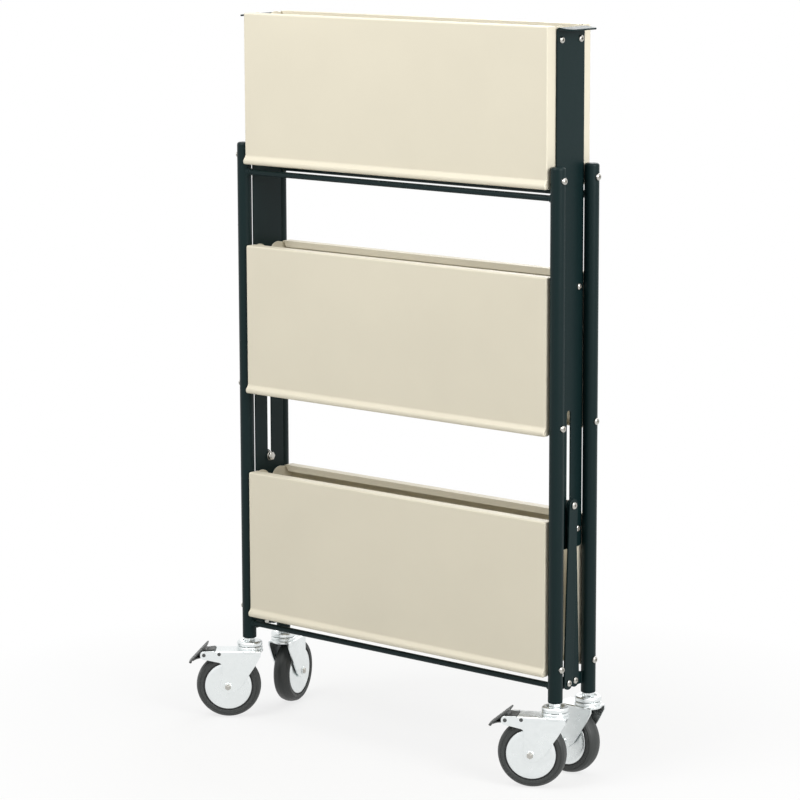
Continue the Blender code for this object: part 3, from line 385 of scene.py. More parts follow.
def hexagon(across_flats, low, high, chamfer):
    """A hexagon prism on the Z axis with chamfered ends."""
    shape = bmesh.new()
    bmesh.ops.create_circle(
        shape, cap_ends=True, segments=6, radius=across_flats / math.sqrt(3), matrix=shift(z=low))
    return soften(raised(shape, (0, 0, high - low)), chamfer)


def rod(radius, low, high, rounding, steps=24):
    """A round bar on the Z axis."""
    return turned([(0, low, 0), (radius, low, rounding), (radius, high, rounding), (0, high, 0)], steps)


def socket_head(sizes, share=0.5):
    """A button head that stands on Z = 0, with a hexagon socket. Its radius is a share of the head size."""
    radius = share * sizes.head
    height = sizes.head_height
    foot_round = 0.12 * radius
    dome_round = 0.8 * height
    mouth_height = 0.97 * height
    rim_radius = 0.68 * sizes.socket
    depth = 0.6 * height
    shape = turned([(0, 0, 0), (radius, 0, foot_round), (radius, height, dome_round),
                    (rim_radius, height, 0)], 24)
    rim = [edge for edge in shape.edges if edge.is_boundary]
    mouth = bmesh.ops.create_circle(
        shape, cap_ends=False, segments=6, radius=sizes.socket / math.sqrt(3), matrix=shift(z=mouth_height))
    sides = list(dict.fromkeys(edge for vert in mouth["verts"] for edge in vert.link_edges))
    bmesh.ops.bridge_loops(shape, edges=rim + sides)
    far, made = pulled(shape, sides, (0, 0, -depth))
    bmesh.ops.contextual_create(
        shape, geom=[edge for edge in made if all(vert in far for vert in edge.verts)])
    return closed_up(shape)


def rivet(sizes, outside, shank_end, upset_low, upset_high, upset_round):
    """A rivet on the Z axis, with a button head at the outside and an upset head at its other end."""
    head = placed(socket_head(sizes), shift(z=outside))
    shank = rod(sizes.shank / 2, shank_end, outside, 0.4 * MM)
    return joined(head, shank, rod(sizes.head / 2, upset_low, upset_high, upset_round))


def cross_pin(shank, head, seat, rise):
    """A pin on the Z axis with a low domed head at each end."""
    end = [(shank, seat, 0), (head, seat, 0.2 * rise), (head, seat + rise, 0.75 * rise), (0, seat + rise, 0)]
    return turned(mirrored(end) + end, 24)


def joined(*shapes):
    """One shape with the faces of all."""
    whole = shapes[0]
    for shape in shapes[1:]:
        mesh = bpy.data.meshes.new("part")
        shape.to_mesh(mesh)
        whole.from_mesh(mesh)
        bpy.data.meshes.remove(mesh)
        shape.free()
    return whole


def to_mesh(shape, name):
    """Ends a shape as a mesh that can be placed several times."""
    mesh = bpy.data.meshes.new(name)
    shape.to_mesh(mesh)
    shape.free()
    mesh.shade_smooth()
    mesh.set_sharp_from_angle(angle=CREASE)
    return mesh


def add_piece(name, mesh, place, finish, body, slot, *nodes):
    """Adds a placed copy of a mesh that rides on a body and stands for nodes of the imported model."""
    own = mesh.copy()
    own.name = name
    own.transform(place)
    own.materials.append(finish)
    piece = bpy.data.objects.new(name, own)
    bpy.context.scene.collection.objects.link(piece)
    even = piece.modifiers.new("even normals", "WEIGHTED_NORMAL")
    even.keep_sharp = True
    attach(piece, body)
    if nodes:
        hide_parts(*nodes)
    return piece


def at_end(corner):
    """A corner's side, its end's place, and the side of the right end that it is a half-turned copy of."""
    side, end = corner.split("_")
    other = "back" if side == "front" else "front"
    return side, HOMES[end], side if end == "right" else other


def leg_place(corner, height=0.0):
    """A place on the axis of a leg, which is the swivel axis of its caster too."""
    at = AXIS[f"{corner}_swivel"]
    return shift(at.x, at.y, height)


def caster_place(corner):
    """The place of a caster: its swivel axis, turned so that X points along its trail."""
    along = AXIS[f"{corner}_wheel_spin"] - AXIS[f"{corner}_swivel"]
    return leg_place(corner) @ Matrix.Rotation(math.atan2(along.y, along.x), 4, "Z")


# Finishes

def add_node(tree, kind, inputs=None, **settings):
    """Adds a node with its settings. Its inputs get their values, or links to other nodes' outputs."""
    node = tree.nodes.new(kind)
    for name, value in settings.items():
        setattr(node, name, value)
    for name, value in (inputs or {}).items():
        if isinstance(value, bpy.types.NodeSocket):
            tree.links.new(value, node.inputs[name])
        else:
            node.inputs[name].default_value = value
    return node


def shaded(colour_value, factor):
    """A colour made lighter or darker, with its alpha."""
    return (*[min(1.0, channel * factor) for channel in colour_value], 1.0)


def new_finish(name, metallic, ior=None):
    """A material with its shader and the piece's own coordinates."""
    finish = bpy.data.materials.new(name)
    finish.use_nodes = True
    tree = finish.node_tree
    shader = tree.nodes["Principled BSDF"]
    shader.inputs["Metallic"].default_value = metallic
    if ior:
        shader.inputs["IOR"].default_value = ior
    coords = add_node(tree, "ShaderNodeTexCoord").outputs["Object"]
    return finish, tree, shader, coords


def paint(tree, shader, base, patches, tones, gloss, roughness, relief, depth, wear=None):
    """Gives a shader what the eye sees of a finish: colour, roughness and relief.

    The patches lead the base colour from one tone to another, and the gloss leads the roughness from one
    value to another. Wear is (how pointed an edge is when it is worn, how much of the wear shows, its tone).
    """
    wear_start = 0.53
    low, high = [shaded(base, tone) for tone in tones]
    tint = add_node(tree, "ShaderNodeMix", {0: patches, 6: low, 7: high}, data_type="RGBA").outputs[2]
    if wear:
        pointed, share, worn_tone = wear
        points = add_node(tree, "ShaderNodeNewGeometry").outputs["Pointiness"]
        edge = add_node(tree, "ShaderNodeMapRange", {
            "Value": points, "From Min": wear_start, "From Max": pointed, "To Max": share})
        worn = {0: edge.outputs["Result"], 6: tint, 7: shaded(base, worn_tone)}
        tint = add_node(tree, "ShaderNodeMix", worn, data_type="RGBA").outputs[2]
    dull = add_node(tree, "ShaderNodeMapRange", {
        "Value": gloss, "From Min": 0.3, "From Max": 0.7, "To Min": roughness[0], "To Max": roughness[1]})
    bump = add_node(tree, "ShaderNodeBump", {"Height": relief, "Strength": 1.0, "Distance": depth})
    tree.links.new(tint, shader.inputs["Base Color"])
    tree.links.new(dull.outputs["Result"], shader.inputs["Roughness"])
    tree.links.new(bump.outputs["Normal"], shader.inputs["Normal"])


def once(maker, name, *details, **named_details):
    """The finish of a name, which its maker makes if there is none yet."""
    return bpy.data.materials.get(name) or maker(name, *details, **named_details)


def powder_coat(name, coat, roughness, wear_lift, sheen_level):
    """Powder coat on steel, sprayed dry and baked: an even satin colour with a faint orange peel.

    The coat is a little thicker in clouds about 150 mm wide. It is thin, and so paler, on worn edges.
    """
    finish, tree, shader, coords = new_finish(name, 0.0, 1.5)
    shader.inputs["Specular IOR Level"].default_value = sheen_level
    clouds = add_node(tree, "ShaderNodeTexNoise", {"Vector": coords, "Scale": 1 / 0.15, "Detail": 3.0})
    # The real peel is 1 to 2 mm wide. It is drawn 4 mm wide, because finer does not show.
    peel = add_node(tree, "ShaderNodeTexNoise", {"Vector": coords, "Scale": 1 / 0.004, "Detail": 2.0})
    paint(tree, shader, coat, clouds.outputs["Fac"], (0.95, 1.05),
          peel.outputs["Fac"], (roughness - 0.05, roughness + 0.06),
          peel.outputs["Fac"], 0.03 * MM, wear=(0.62, 0.5, wear_lift))
    return finish


def cream_coat(settings):
    return once(powder_coat, "cream powder-coated steel", settings.colours.shelf,
                roughness=0.42, wear_lift=1.06, sheen_level=0.5)


def dark_coat(settings):
    # It mirrors less than the cream coat, so that it stays deep in a white room.
    return once(powder_coat, "dark green grey powder-coated steel", settings.colours.frame,
                roughness=0.4, wear_lift=1.9, sheen_level=0.15)


def plated_steel(name, plate_colour, cloud_width, roughness):
    """Bright plated steel, pressed or turned and then plated: a pale mirror that is clouded in patches.

    The clouds are where the bath left the plate duller and a little darker, with fine marks from rolling.
    """
    finish, tree, shader, coords = new_finish(name, 1.0)
    clouds = add_node(tree, "ShaderNodeTexNoise", {
        "Vector": coords, "Scale": 1 / cloud_width, "Detail": 5.0, "Roughness": 0.6, "Distortion": 0.6})
    # Rolling marks are some hundredths of a millimetre wide. They are drawn 1 mm wide and long in X.
    stretch = add_node(tree, "ShaderNodeMapping", {"Vector": coords, "Scale": (60.0, 1000.0, 1000.0)})
    marks = add_node(tree, "ShaderNodeTexNoise", {
        "Vector": stretch.outputs["Vector"], "Scale": 1.0, "Detail": 2.0})
    paint(tree, shader, plate_colour, clouds.outputs["Fac"], (1.08, 0.86),
          clouds.outputs["Fac"], (roughness - 0.07, roughness + 0.1), marks.outputs["Fac"], 0.002 * MM)
    return finish


def zinc_plate(settings):
    return once(plated_steel, "bright zinc-plated steel", settings.colours.zinc,
                cloud_width=0.018, roughness=0.3)


def nickel_plate(settings):
    return once(plated_steel, "nickel-plated steel", settings.colours.fastener,
                cloud_width=0.006, roughness=0.2)


def moulded(name, base, grain_width, roughness, lift):
    """Rubber or plastic from a mould: a dull dark skin with a fine grain, rubbed paler on its edges."""
    finish, tree, shader, coords = new_finish(name, 0.0, 1.52)
    grain = add_node(tree, "ShaderNodeTexNoise", {"Vector": coords, "Scale": 1 / grain_width, "Detail": 3.0})
    smears = add_node(tree, "ShaderNodeTexNoise", {"Vector": coords, "Scale": 1 / 0.03, "Detail": 4.0})
    paint(tree, shader, base, smears.outputs["Fac"], (0.9, 1.12),
          smears.outputs["Fac"], (roughness - 0.08, roughness + 0.08),
          grain.outputs["Fac"], 0.02 * MM, wear=(0.65, 0.6, lift))
    return finish


def tyre_rubber(settings):
    # The grain of the mould is about 0.3 mm. It is drawn 1.2 mm wide, so that it shows.
    return once(moulded, "grey black rubber", settings.colours.tyre,
                grain_width=0.0012, roughness=0.5, lift=1.3)


def rim_plastic(settings):
    return once(moulded, "black polypropylene", settings.colours.rim,
                grain_width=0.002, roughness=0.5, lift=1.5)


def pedal_coat(settings):
    return once(moulded, "dark grey coated steel", settings.colours.pedal,
                grain_width=0.003, roughness=0.45, lift=2.2)


# Half shelves

def half_shelf(sizes, surface):
    """One pressed pan as it lies open: X along it, Y inwards from the outer hinge and Z up."""
    edge = SHELF_EDGE
    low = surface - sizes.inner_flange
    crest = surface + sizes.bead_rise
    shape = drawn([
        (-sizes.bead_width, surface - sizes.hem, 0), (-sizes.bead_width, crest, sizes.bead_round),
        (-sizes.bead_slope, crest, sizes.bead_foot), (0, surface, sizes.bead_foot),
        (edge, surface, sizes.inner_bend), (edge, low, 0)], "YZ")
    placed(shape, shift(-SHELF_HALF))
    pulled(shape, shape.edges[:], (2 * SHELF_HALF, 0, 0))

    # The side flanges hang from the ends, and taper from the inner boss to the outer one
    slope = math.asin((sizes.inner_boss - sizes.outer_boss) / math.hypot(HINGE_SPAN, HINGE_DROP))
    lean = slope + math.atan2(HINGE_DROP, HINGE_SPAN)
    under = -sizes.outer_boss / math.cos(lean)
    flange = [(edge, under - edge * math.tan(lean)),
              (-sizes.outer_boss, under + sizes.outer_boss * math.tan(lean)), (-sizes.outer_boss, 0.5 * MM)]
    for x in (-SHELF_HALF, SHELF_HALF):
        rim = edges_at(shape, 0, x)
        rim_verts = [vert for item in rim for vert in item.verts]
        hem = min(rim_verts, key=lambda vert: (vert.co.y, vert.co.z))
        foot = min((vert for vert in rim_verts if vert.co.y > edge - WELD), key=lambda vert: vert.co.z)
        inner, outer, heel = [shape.verts.new((x, y, z)) for y, z in flange]
        chain = [foot, inner, outer, heel, hem]
        rim += [shape.edges.new(pair) for pair in zip(chain, chain[1:])]
        bmesh.ops.contextual_create(shape, geom=rim)
        bosses = [(inner, sizes.inner_boss, (foot.co - inner.co).angle(outer.co - inner.co)),
                  (outer, sizes.outer_boss, (inner.co - outer.co).angle(heel.co - outer.co))]
        for vert, radius, corner in bosses:
            rounded(shape, [vert], ARC_SHARE * radius / math.tan(corner / 2), 8, "VERTICES")
    closed_up(shape)
    # A bend joins a face that looks along X to one that does not
    endways = 0.9
    bends = [item for item in shape.edges if len(item.link_faces) == 2
             and sum(abs(face.normal.x) > endways for face in item.link_faces) == 1]
    rounded(shape, bends, sizes.side_bend, 3)

    # The inner flange is turned back under the shelf as a lip with cut corners
    closed_up(shape)
    free = [item for item in edges_at(shape, 2, low) if item.is_boundary]
    fold = max(free, key=lambda item: item.calc_length())
    for vert in pulled(shape, [fold], (0, -sizes.return_lip, 0))[0]:
        vert.co.x -= math.copysign(sizes.lip_relief, vert.co.x)
    return thickened(shape, sizes.sheet, UP, 0.3 * MM)


class TROLLEY_OT_half_shelves(bpy.types.Operator):
    """Model the six half shelves as pressed sheet steel"""

    bl_idname = "trolley.half_shelves"
    bl_label = "Half Shelves"

    def execute(self, context):
        settings = context.scene.trolley
        pan = to_mesh(half_shelf(settings.shelves, settings.frames.tube / 2), "pan")
        upright = Matrix.Rotation(math.pi / 2, 4, "X")
        for side, home in zip(SIDES, HOMES.values()):
            for level in LEVELS:
                place = home @ shift(0, -LEG_Y, HINGE_Z[level]) @ upright
                add_piece(f"pan_{side}_{level}", pan, place, cream_coat(settings), f"{side}_{level}_shelf",
                          "shelf", f"{side}_{level}_half_shelf")
        return {"FINISHED"}


# Leg frames

class TROLLEY_OT_leg_tubes(bpy.types.Operator):
    """Model the four leg tubes with closed, rounded tops, and the plug of the front left one"""

    bl_idname = "trolley.leg_tubes"
    bl_label = "Leg Tubes"

    def execute(self, context):
        settings = context.scene.trolley
        sizes = settings.frames
        radius = sizes.tube / 2
        inside = radius - sizes.wall
        roof = TUBE_LOW + 3 * sizes.tube
        corners = [(0, roof, 0), (inside, roof, 0), (inside, TUBE_LOW, 0.3 * MM),
                   (radius, TUBE_LOW, 0.8 * MM), (radius, TUBE_HIGH, sizes.tube_round), (0, TUBE_HIGH, 0)]
        tube = to_mesh(turned(corners, 48, segments=6), "leg_tube")
        plug_radius = 3.75 * MM
        plug_rise = 2.6 * MM
        dome = turned([(0, -sizes.wall, 0), (plug_radius, -sizes.wall, 0),
                       (plug_radius, plug_rise, 2.2 * MM), (0, plug_rise, 0)], 24)
        outwards = shift(-radius + 0.4 * MM, 0, sizes.plug_height) @ Matrix.Rotation(-math.pi / 2, 4, "Y")
        plugged = to_mesh(joined(turned(corners, 48, segments=6), placed(dome, outwards)), "plugged_leg_tube")
        for corner in CORNERS:
            mesh = plugged if corner == "front_left" else tube
            add_piece(f"tube_{corner}", mesh, leg_place(corner), dark_coat(settings), FRAME_OF[corner],
                      "frame", f"{corner}_leg_tube")
        return {"FINISHED"}


class TROLLEY_OT_rails(bpy.types.Operator):
    """Model the four round rails with the welds at their ends"""

    bl_idname = "trolley.rails"
    bl_label = "Rails"

    def execute(self, context):
        settings = context.scene.trolley
        sizes = settings.frames
        radius = sizes.rail / 2
        weld = sizes.rail_weld
        end = LEG_X - sizes.tube / 2 + weld
        corners = [(0, end, 0), (radius + weld, end, 0), (radius + weld, end - 1.6 * weld, 0.5 * weld),
                   (radius, end - 2.6 * weld, 0.8 * weld)]
        rail = to_mesh(placed(turned(corners + mirrored(corners), 32), TO_X), "rail")
        for side in SIDES:
            for name in ("upper", "lower"):
                low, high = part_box(f"{side}_{name}_rail")
                place = shift(*((low + high) / 2))
                add_piece(f"rail_{side}_{name}", rail, place, dark_coat(settings), f"{side}_frame", "frame",
                          f"{side}_{name}_rail")
        return {"FINISHED"}


class TROLLEY_OT_hinge_screws(bpy.types.Operator):
    """Model the twelve button-head screws that hinge the half shelves on the legs, with their nuts"""

    bl_idname = "trolley.hinge_screws"
    bl_label = "Hinge Screws"

    def execute(self, context):
        settings = context.scene.trolley
        sizes = settings.fasteners
        seat = settings.frames.tube / 2
        nut = SHELF_HALF - settings.shelves.sheet - settings.frames.seat_gap - LEG_X
        head = placed(socket_head(sizes), shift(z=seat + 0.3 * MM))
        washer = rod(0.45 * sizes.head, seat - 1.5 * MM, seat + 0.6 * MM, 0.2 * MM)
        shank = rod(sizes.shank / 2, nut - sizes.nut_height - 0.6 * MM, seat, 0.5 * MM)
        grip = hexagon(sizes.nut, nut - sizes.nut_height, nut, 0.5 * MM)
        screw = to_mesh(placed(joined(head, washer, shank, grip), TO_X), "hinge_screw")
        for corner in CORNERS:
            facing = Matrix.Rotation(math.pi if corner.endswith("left") else 0.0, 4, "Z")
            for level in LEVELS:
                place = leg_place(corner, HINGE_Z[level]) @ facing
                add_piece(f"screw_{corner}_{level}", screw, place, nickel_plate(settings), FRAME_OF[corner],
                          "zinc", f"{corner}_{level}_hinge_screw")
        return {"FINISHED"}


# Posts and links

def layers(settings):
    """Distances from the middle to the post's outer face, and to the inner faces of the two links."""
    frames = settings.frames
    post = SHELF_HALF + frames.post_gap + frames.post_sheet
    inner = post + settings.fasteners.head_height + 3 * frames.seat_gap
    return post, inner, inner + frames.link_sheet + frames.seat_gap


def post_sheet(settings):
    """The right post: half its slotted plate, mirrored, with the handle tab bent out at the top."""
    sizes = settings.frames
    outside = layers(settings)[0]
    half = sizes.post_width / 2
    bend = sizes.tab_bend
    top = POST_HIGH - sizes.post_sheet - bend
    slot = settings.fasteners.slot_bolt / 2 + 0.4 * MM
    slot_low = APEX_Z - slot
    slot_high = APEX_Z + JOINT["slot_bolts_slide"]["range_m"][1] + slot
    shape = doubled(flat([
        (0, POST_LOW, 0), (half - sizes.post_chamfer, POST_LOW, 1 * MM),
        (half, POST_LOW + sizes.post_chamfer, 1 * MM), (half, top, 0), (0, top, 0), (0, slot_high, 0),
        (slot, slot_high, ARC_SHARE * slot), (slot, slot_low, ARC_SHARE * slot), (0, slot_low, 0)], "YZ", 5))
    placed(shape, shift(outside))
    out = Vector((math.cos(sizes.tab_droop), 0, -math.sin(sizes.tab_droop)))
    tip = folded(shape, edges_at(shape, 2, top), (outside + bend, 0, top), (0, 1, 0),
                 math.pi / 2 + sizes.tab_droop, 5, (sizes.tab_reach - bend) * out)
    corners = sorted((vert for vert in tip if abs(vert.co.y) > half - WELD), key=lambda vert: vert.co.y)
    for vert, radius in zip(corners, (sizes.tab_corner, sizes.tab_corner / 3)):
        rounded(shape, [vert], radius, 8, "VERTICES")
    return thickened(shape, sizes.post_sheet, RIGHT, 0.5 * MM)


class TROLLEY_OT_posts(bpy.types.Operator):
    """Model the two slotted posts with their handle tabs and riveted hinge pins"""

    bl_idname = "trolley.posts"
    bl_label = "Posts"

    def execute(self, context):
        settings = context.scene.trolley
        outside = layers(settings)[0]
        tail = SHELF_HALF - settings.shelves.sheet - settings.frames.seat_gap
        plate_mesh = to_mesh(post_sheet(settings), "post")
        pins = []
        for y in (-POST_HINGE_Y, POST_HINGE_Y):
            for z in POST_HINGE_Z:
                pin = rivet(settings.fasteners, outside, tail - 3 * MM, tail - 4.5 * MM, tail, 1.5 * MM)
                pins.append(placed(pin, TO_X, shift(0, y, z)))
        pin_mesh = to_mesh(joined(*pins), "post_pins")
        for end, home in HOMES.items():
            add_piece(f"post_{end}_plate", plate_mesh, home, dark_coat(settings), "centre_posts", "frame",
                      f"{end}_post")
            add_piece(f"post_{end}_pins", pin_mesh, home, nickel_plate(settings), "centre_posts", "zinc")
        return {"FINISHED"}


class TROLLEY_OT_link_brackets(bpy.types.Operator):
    """Model the four plates on the legs that the links turn on"""

    bl_idname = "trolley.link_brackets"
    bl_label = "Link Brackets"

    def execute(self, context):
        settings = context.scene.trolley
        sizes = settings.frames
        outer_face = layers(settings)[1] - sizes.seat_gap
        radius = 9 * MM
        leg_face = math.sqrt((sizes.tube / 2) ** 2 - (LEG_X - outer_face) ** 2) - (LEG_Y - LINK_PIVOT_Y)
        foot = leg_face - 1 * MM
        bar = plate([(radius, radius, radius), (radius, -radius, radius), (foot, -radius, 0),
                     (foot, radius, 0)], (-sizes.link_sheet, 0, 0))
        bead = placed(rod(1.8 * MM, -radius, radius, 1.2 * MM, 12), shift(0, leg_face + 0.6 * MM))
        bracket = placed(joined(soften(bar, 0.5 * MM), bead), shift(outer_face, -LINK_PIVOT_Y, LINK_PIVOT_Z))
        other = closed_up(placed(bracket.copy(), Matrix.Scale(-1, 4, (0, 1, 0))))
        meshes = {"front": to_mesh(bracket, "bracket"), "back": to_mesh(other, "bracket")}
        for corner in CORNERS:
            side, home, like = at_end(corner)
            add_piece(f"bracket_{corner}", meshes[like], home, dark_coat(settings), f"{side}_frame", "frame",
                      f"{corner}_link_bracket")
        return {"FINISHED"}


class TROLLEY_OT_links(bpy.types.Operator):
    """Model the four flat links with their rivets"""

    bl_idname = "trolley.links"
    bl_label = "Links"

    def execute(self, context):
        settings = context.scene.trolley
        sizes = settings.frames
        fasteners = settings.fasteners
        _, inner, outer = layers(settings)
        bracket_back = inner - 2 * sizes.seat_gap - sizes.link_sheet
        half = sizes.link_width / 2
        rise = APEX_Z - LINK_PIVOT_Z
        span = math.hypot(rise, LINK_PIVOT_Y)
        apex = shift(z=APEX_Z)
        outline = [(-half, -span - half, half), (half, -span - half, half), (half, half, half),
                   (-half, half, half)]
        meshes = {}
        for side, inside, sign in (("front", outer, -1), ("back", inner, 1)):
            lean = Matrix.Rotation(-sign * math.atan2(-LINK_PIVOT_Y, rise), 4, "X")
            bar = soften(plate(outline, (sizes.link_sheet, 0, 0), segments=8), 0.5 * MM)
            placed(bar, shift(inside), lean, apex)
            outside = inside + sizes.link_sheet
            rivets = rivet(fasteners, outside, bracket_back - 2 * MM, bracket_back - 3 * MM,
                           bracket_back - 0.3 * MM, 1.2 * MM)
            placed(rivets, TO_X, shift(z=-span), lean, apex)
            if side == "front":
                rivets = joined(rivets, placed(socket_head(fasteners, 0.55), TO_X, shift(outside, 0, APEX_Z)))
            meshes[side] = (to_mesh(bar, "link"), to_mesh(rivets, "link_rivets"))
        for corner in CORNERS:
            side, home, like = at_end(corner)
            bar, rivets = meshes[like]
            body = f"{side}_links"
            add_piece(f"link_{corner}_bar", bar, home, dark_coat(settings), body, "frame", f"{corner}_link")
            add_piece(f"link_{corner}_rivets", rivets, home, nickel_plate(settings), body, "zinc")
        return {"FINISHED"}


class TROLLEY_OT_slot_bolts(bpy.types.Operator):
    """Model the two bolts that slide in the posts' slots, with nut, washer and collar"""

    bl_idname = "trolley.slot_bolts"
    bl_label = "Slot Bolts"

    def execute(self, context):
        settings = context.scene.trolley
        sizes = settings.fasteners
        post, inner, _ = layers(settings)
        gap = settings.frames.seat_gap
        inside = post - settings.frames.post_sheet - gap
        nut_seat = inside - 1.2 * MM
        washer = rod(0.6 * sizes.slot_nut, nut_seat, inside, 0.3 * MM)
        nut = hexagon(sizes.slot_nut, inside - 5 * MM, nut_seat, 0.6 * MM)
        shank = rod(sizes.slot_bolt / 2, inside - 6 * MM, inner - gap, 0.6 * MM)
        collar = rod(sizes.collar / 2, post + gap, inner - gap, 0.6 * MM)
        bolt = to_mesh(placed(joined(washer, nut, shank, collar), TO_X, shift(z=APEX_Z)), "slot_bolt")
        for end, home in HOMES.items():
            add_piece(f"bolt_{end}", bolt, home, nickel_plate(settings), "slot_bolts", "zinc",
                      f"{end}_slot_bolt")
        return {"FINISHED"}


# Casters

class TROLLEY_OT_caster_stems(bpy.types.Operator):
    """Model what is fixed in the legs: hexagon, upper ring of the swivel head, and kingpin with its nut"""

    bl_idname = "trolley.caster_stems"
    bl_label = "Caster Stems"

    def execute(self, context):
        settings = context.scene.trolley
        sizes = settings.casters
        gap = settings.frames.seat_gap
        low = CROWN_TOP + gap
        high = low + sizes.race_height
        dish = high - 2.6 * MM
        radius = sizes.race / 2
        ring = turned([
            (0, low, 0), (radius, low, 2.4 * MM), (radius, high, 3.6 * MM), (14.5 * MM, high, 1.5 * MM),
            (12 * MM, dish, 1.5 * MM), (0, dish, 0)], 64)
        grip = hexagon(sizes.stem_hex, dish - 1 * MM, TUBE_LOW - gap, 1.0 * MM)
        plug = rod(7.6 * MM, TUBE_LOW - 1 * MM, TUBE_LOW + 20 * MM, 0.6 * MM, 32)
        under = CROWN_TOP - sizes.crown_rise - sizes.fork_sheet - gap
        nut = hexagon(14 * MM, under - 4 * MM, under, 0.6 * MM)
        kingpin = rod(5 * MM, under - 4.4 * MM, low + 1 * MM, 0.5 * MM)
        stem = to_mesh(joined(ring, grip, plug, nut, kingpin), "caster_stem")
        for corner in CORNERS:
            add_piece(f"stem_{corner}", stem, caster_place(corner), zinc_plate(settings), FRAME_OF[corner],
                      "zinc", f"{corner}_caster_stem")
        return {"FINISHED"}


def fork_sheet(sizes, braked):
    """A pressed fork: one side drawn, the bend and half the top added to it, then mirrored."""
    top = CROWN_TOP - sizes.crown_rise
    half = sizes.fork_width / 2
    bend = sizes.fork_bend
    ridge = top - bend
    back = TRAIL + sizes.leg_back
    foot = AXLE_Z - sizes.fork_boss
    front = -sizes.fork_front
    outline = [(front, ridge, 0)]
    if braked:
        radius = sizes.tail_radius
        end = TAIL + radius
        outline += [
            (TAIL - 18.5 * MM, ridge, 0), (TAIL - 17 * MM, top, 0),
            (end, TAIL_Z + radius, ARC_SHARE * radius), (end, TAIL_Z - radius, ARC_SHARE * radius),
            (back, top - sizes.tail_depth, 6 * MM)]
    else:
        outline.append((back, ridge, 0))
    outline += [
        (back, foot, ARC_SHARE * sizes.leg_back), (TRAIL - 7 * MM, foot, 9 * MM),
        (TRAIL - 2 * sizes.fork_boss, AXLE_Z, 3 * MM), (0.45 * front, AXLE_Z + 32 * MM, 60 * MM),
        (front, top - 8 * MM, 4 * MM)]
    shape = placed(flat(outline, "XZ", 6), shift(0, half))
    folded(shape, edges_at(shape, 2, ridge), (0, half - bend, ridge), (1, 0, 0), math.pi / 2, 4,
           (0, bend - half, 0))
    return thickened(doubled(shape), sizes.fork_sheet, UP, 0.4 * MM)


class TROLLEY_OT_caster_forks(bpy.types.Operator):
    """Model the four pressed forks with the lower rings of their swivel heads and their stop rivets"""

    bl_idname = "trolley.caster_forks"
    bl_label = "Caster Forks"

    def execute(self, context):
        settings = context.scene.trolley
        sizes = settings.casters
        top = CROWN_TOP - sizes.crown_rise
        bore = 8 * MM
        crown = sizes.crown / 2
        middle = crown - 0.7 * MM
        groove = middle - 1.4 * MM
        low = top - 4.4 * MM
        groove_low = top + 0.8 * MM
        groove_high = top + 1.4 * MM
        meshes = {}
        for braked in (True, False):
            rings = turned([
                (bore, low, 0), (crown, low, 2.4 * MM), (crown, groove_low, 2.2 * MM),
                (groove, groove_low, 0), (groove, groove_high, 0), (middle, groove_high, 2.0 * MM),
                (middle, CROWN_TOP, 2.2 * MM), (bore, CROWN_TOP, 0)], 64, closed=True)
            meshes[braked] = to_mesh(joined(fork_sheet(sizes, braked), rings), "caster_fork")
        pin = cross_pin(2 * MM, sizes.rivet_head / 2, sizes.fork_width / 2, 1 * MM)
        pin = to_mesh(placed(pin, TO_Y, shift(sizes.stop_reach, 0, top - 5 * MM)), "stop_rivet")
        for corner in CORNERS:
            place = caster_place(corner)
            body = f"{corner}_fork"
            add_piece(f"fork_{corner}", meshes[corner in BRAKED], place, zinc_plate(settings), body, "zinc",
                      f"{corner}_caster_fork")
            if corner in BRAKED:
                add_piece(f"stop_rivet_{corner}", pin, place, pedal_coat(settings), body, "pedal")
        return {"FINISHED"}


class TROLLEY_OT_axles(bpy.types.Operator):
    """Model the four axle bolts with their washers and nuts"""

    bl_idname = "trolley.axles"
    bl_label = "Axles"

    def execute(self, context):
        settings = context.scene.trolley
        sizes = settings.casters
        side = sizes.fork_width / 2 + 0.1 * MM
        washers = [rod(sizes.axle / 2, -side, side, 0)]
        bolt = [rod(2.6 * MM, -side - 3.2 * MM, side + 3.2 * MM, 0.5 * MM)]
        for turn in (Matrix.Identity(4), Matrix.Rotation(math.pi, 4, "X")):
            washers.append(placed(rod(6.8 * MM, side, side + 1.2 * MM, 0.6 * MM, 32), turn))
            bolt.append(placed(hexagon(9 * MM, side + 1 * MM, side + 2.8 * MM, 0.6 * MM), turn))
        place = TO_Y, shift(TRAIL, 0, AXLE_Z)
        washer_mesh = to_mesh(placed(joined(*washers), *place), "axle_washers")
        bolt_mesh = to_mesh(placed(joined(*bolt), *place), "axle_bolt")
        for corner in CORNERS:
            at = caster_place(corner)
            body = f"{corner}_fork"
            add_piece(f"axle_{corner}_washers", washer_mesh, at, zinc_plate(settings), body, "zinc",
                      f"{corner}_caster_axle")
            add_piece(f"axle_{corner}_bolt", bolt_mesh, at, nickel_plate(settings), body, "zinc")
        return {"FINISHED"}


def wheel_ring(side):
    """A turned ring of a wheel, alike on both sides. The corners give one side, from the inside outwards."""
    return placed(turned(side + mirrored(side), 96, closed=True), TO_Y)


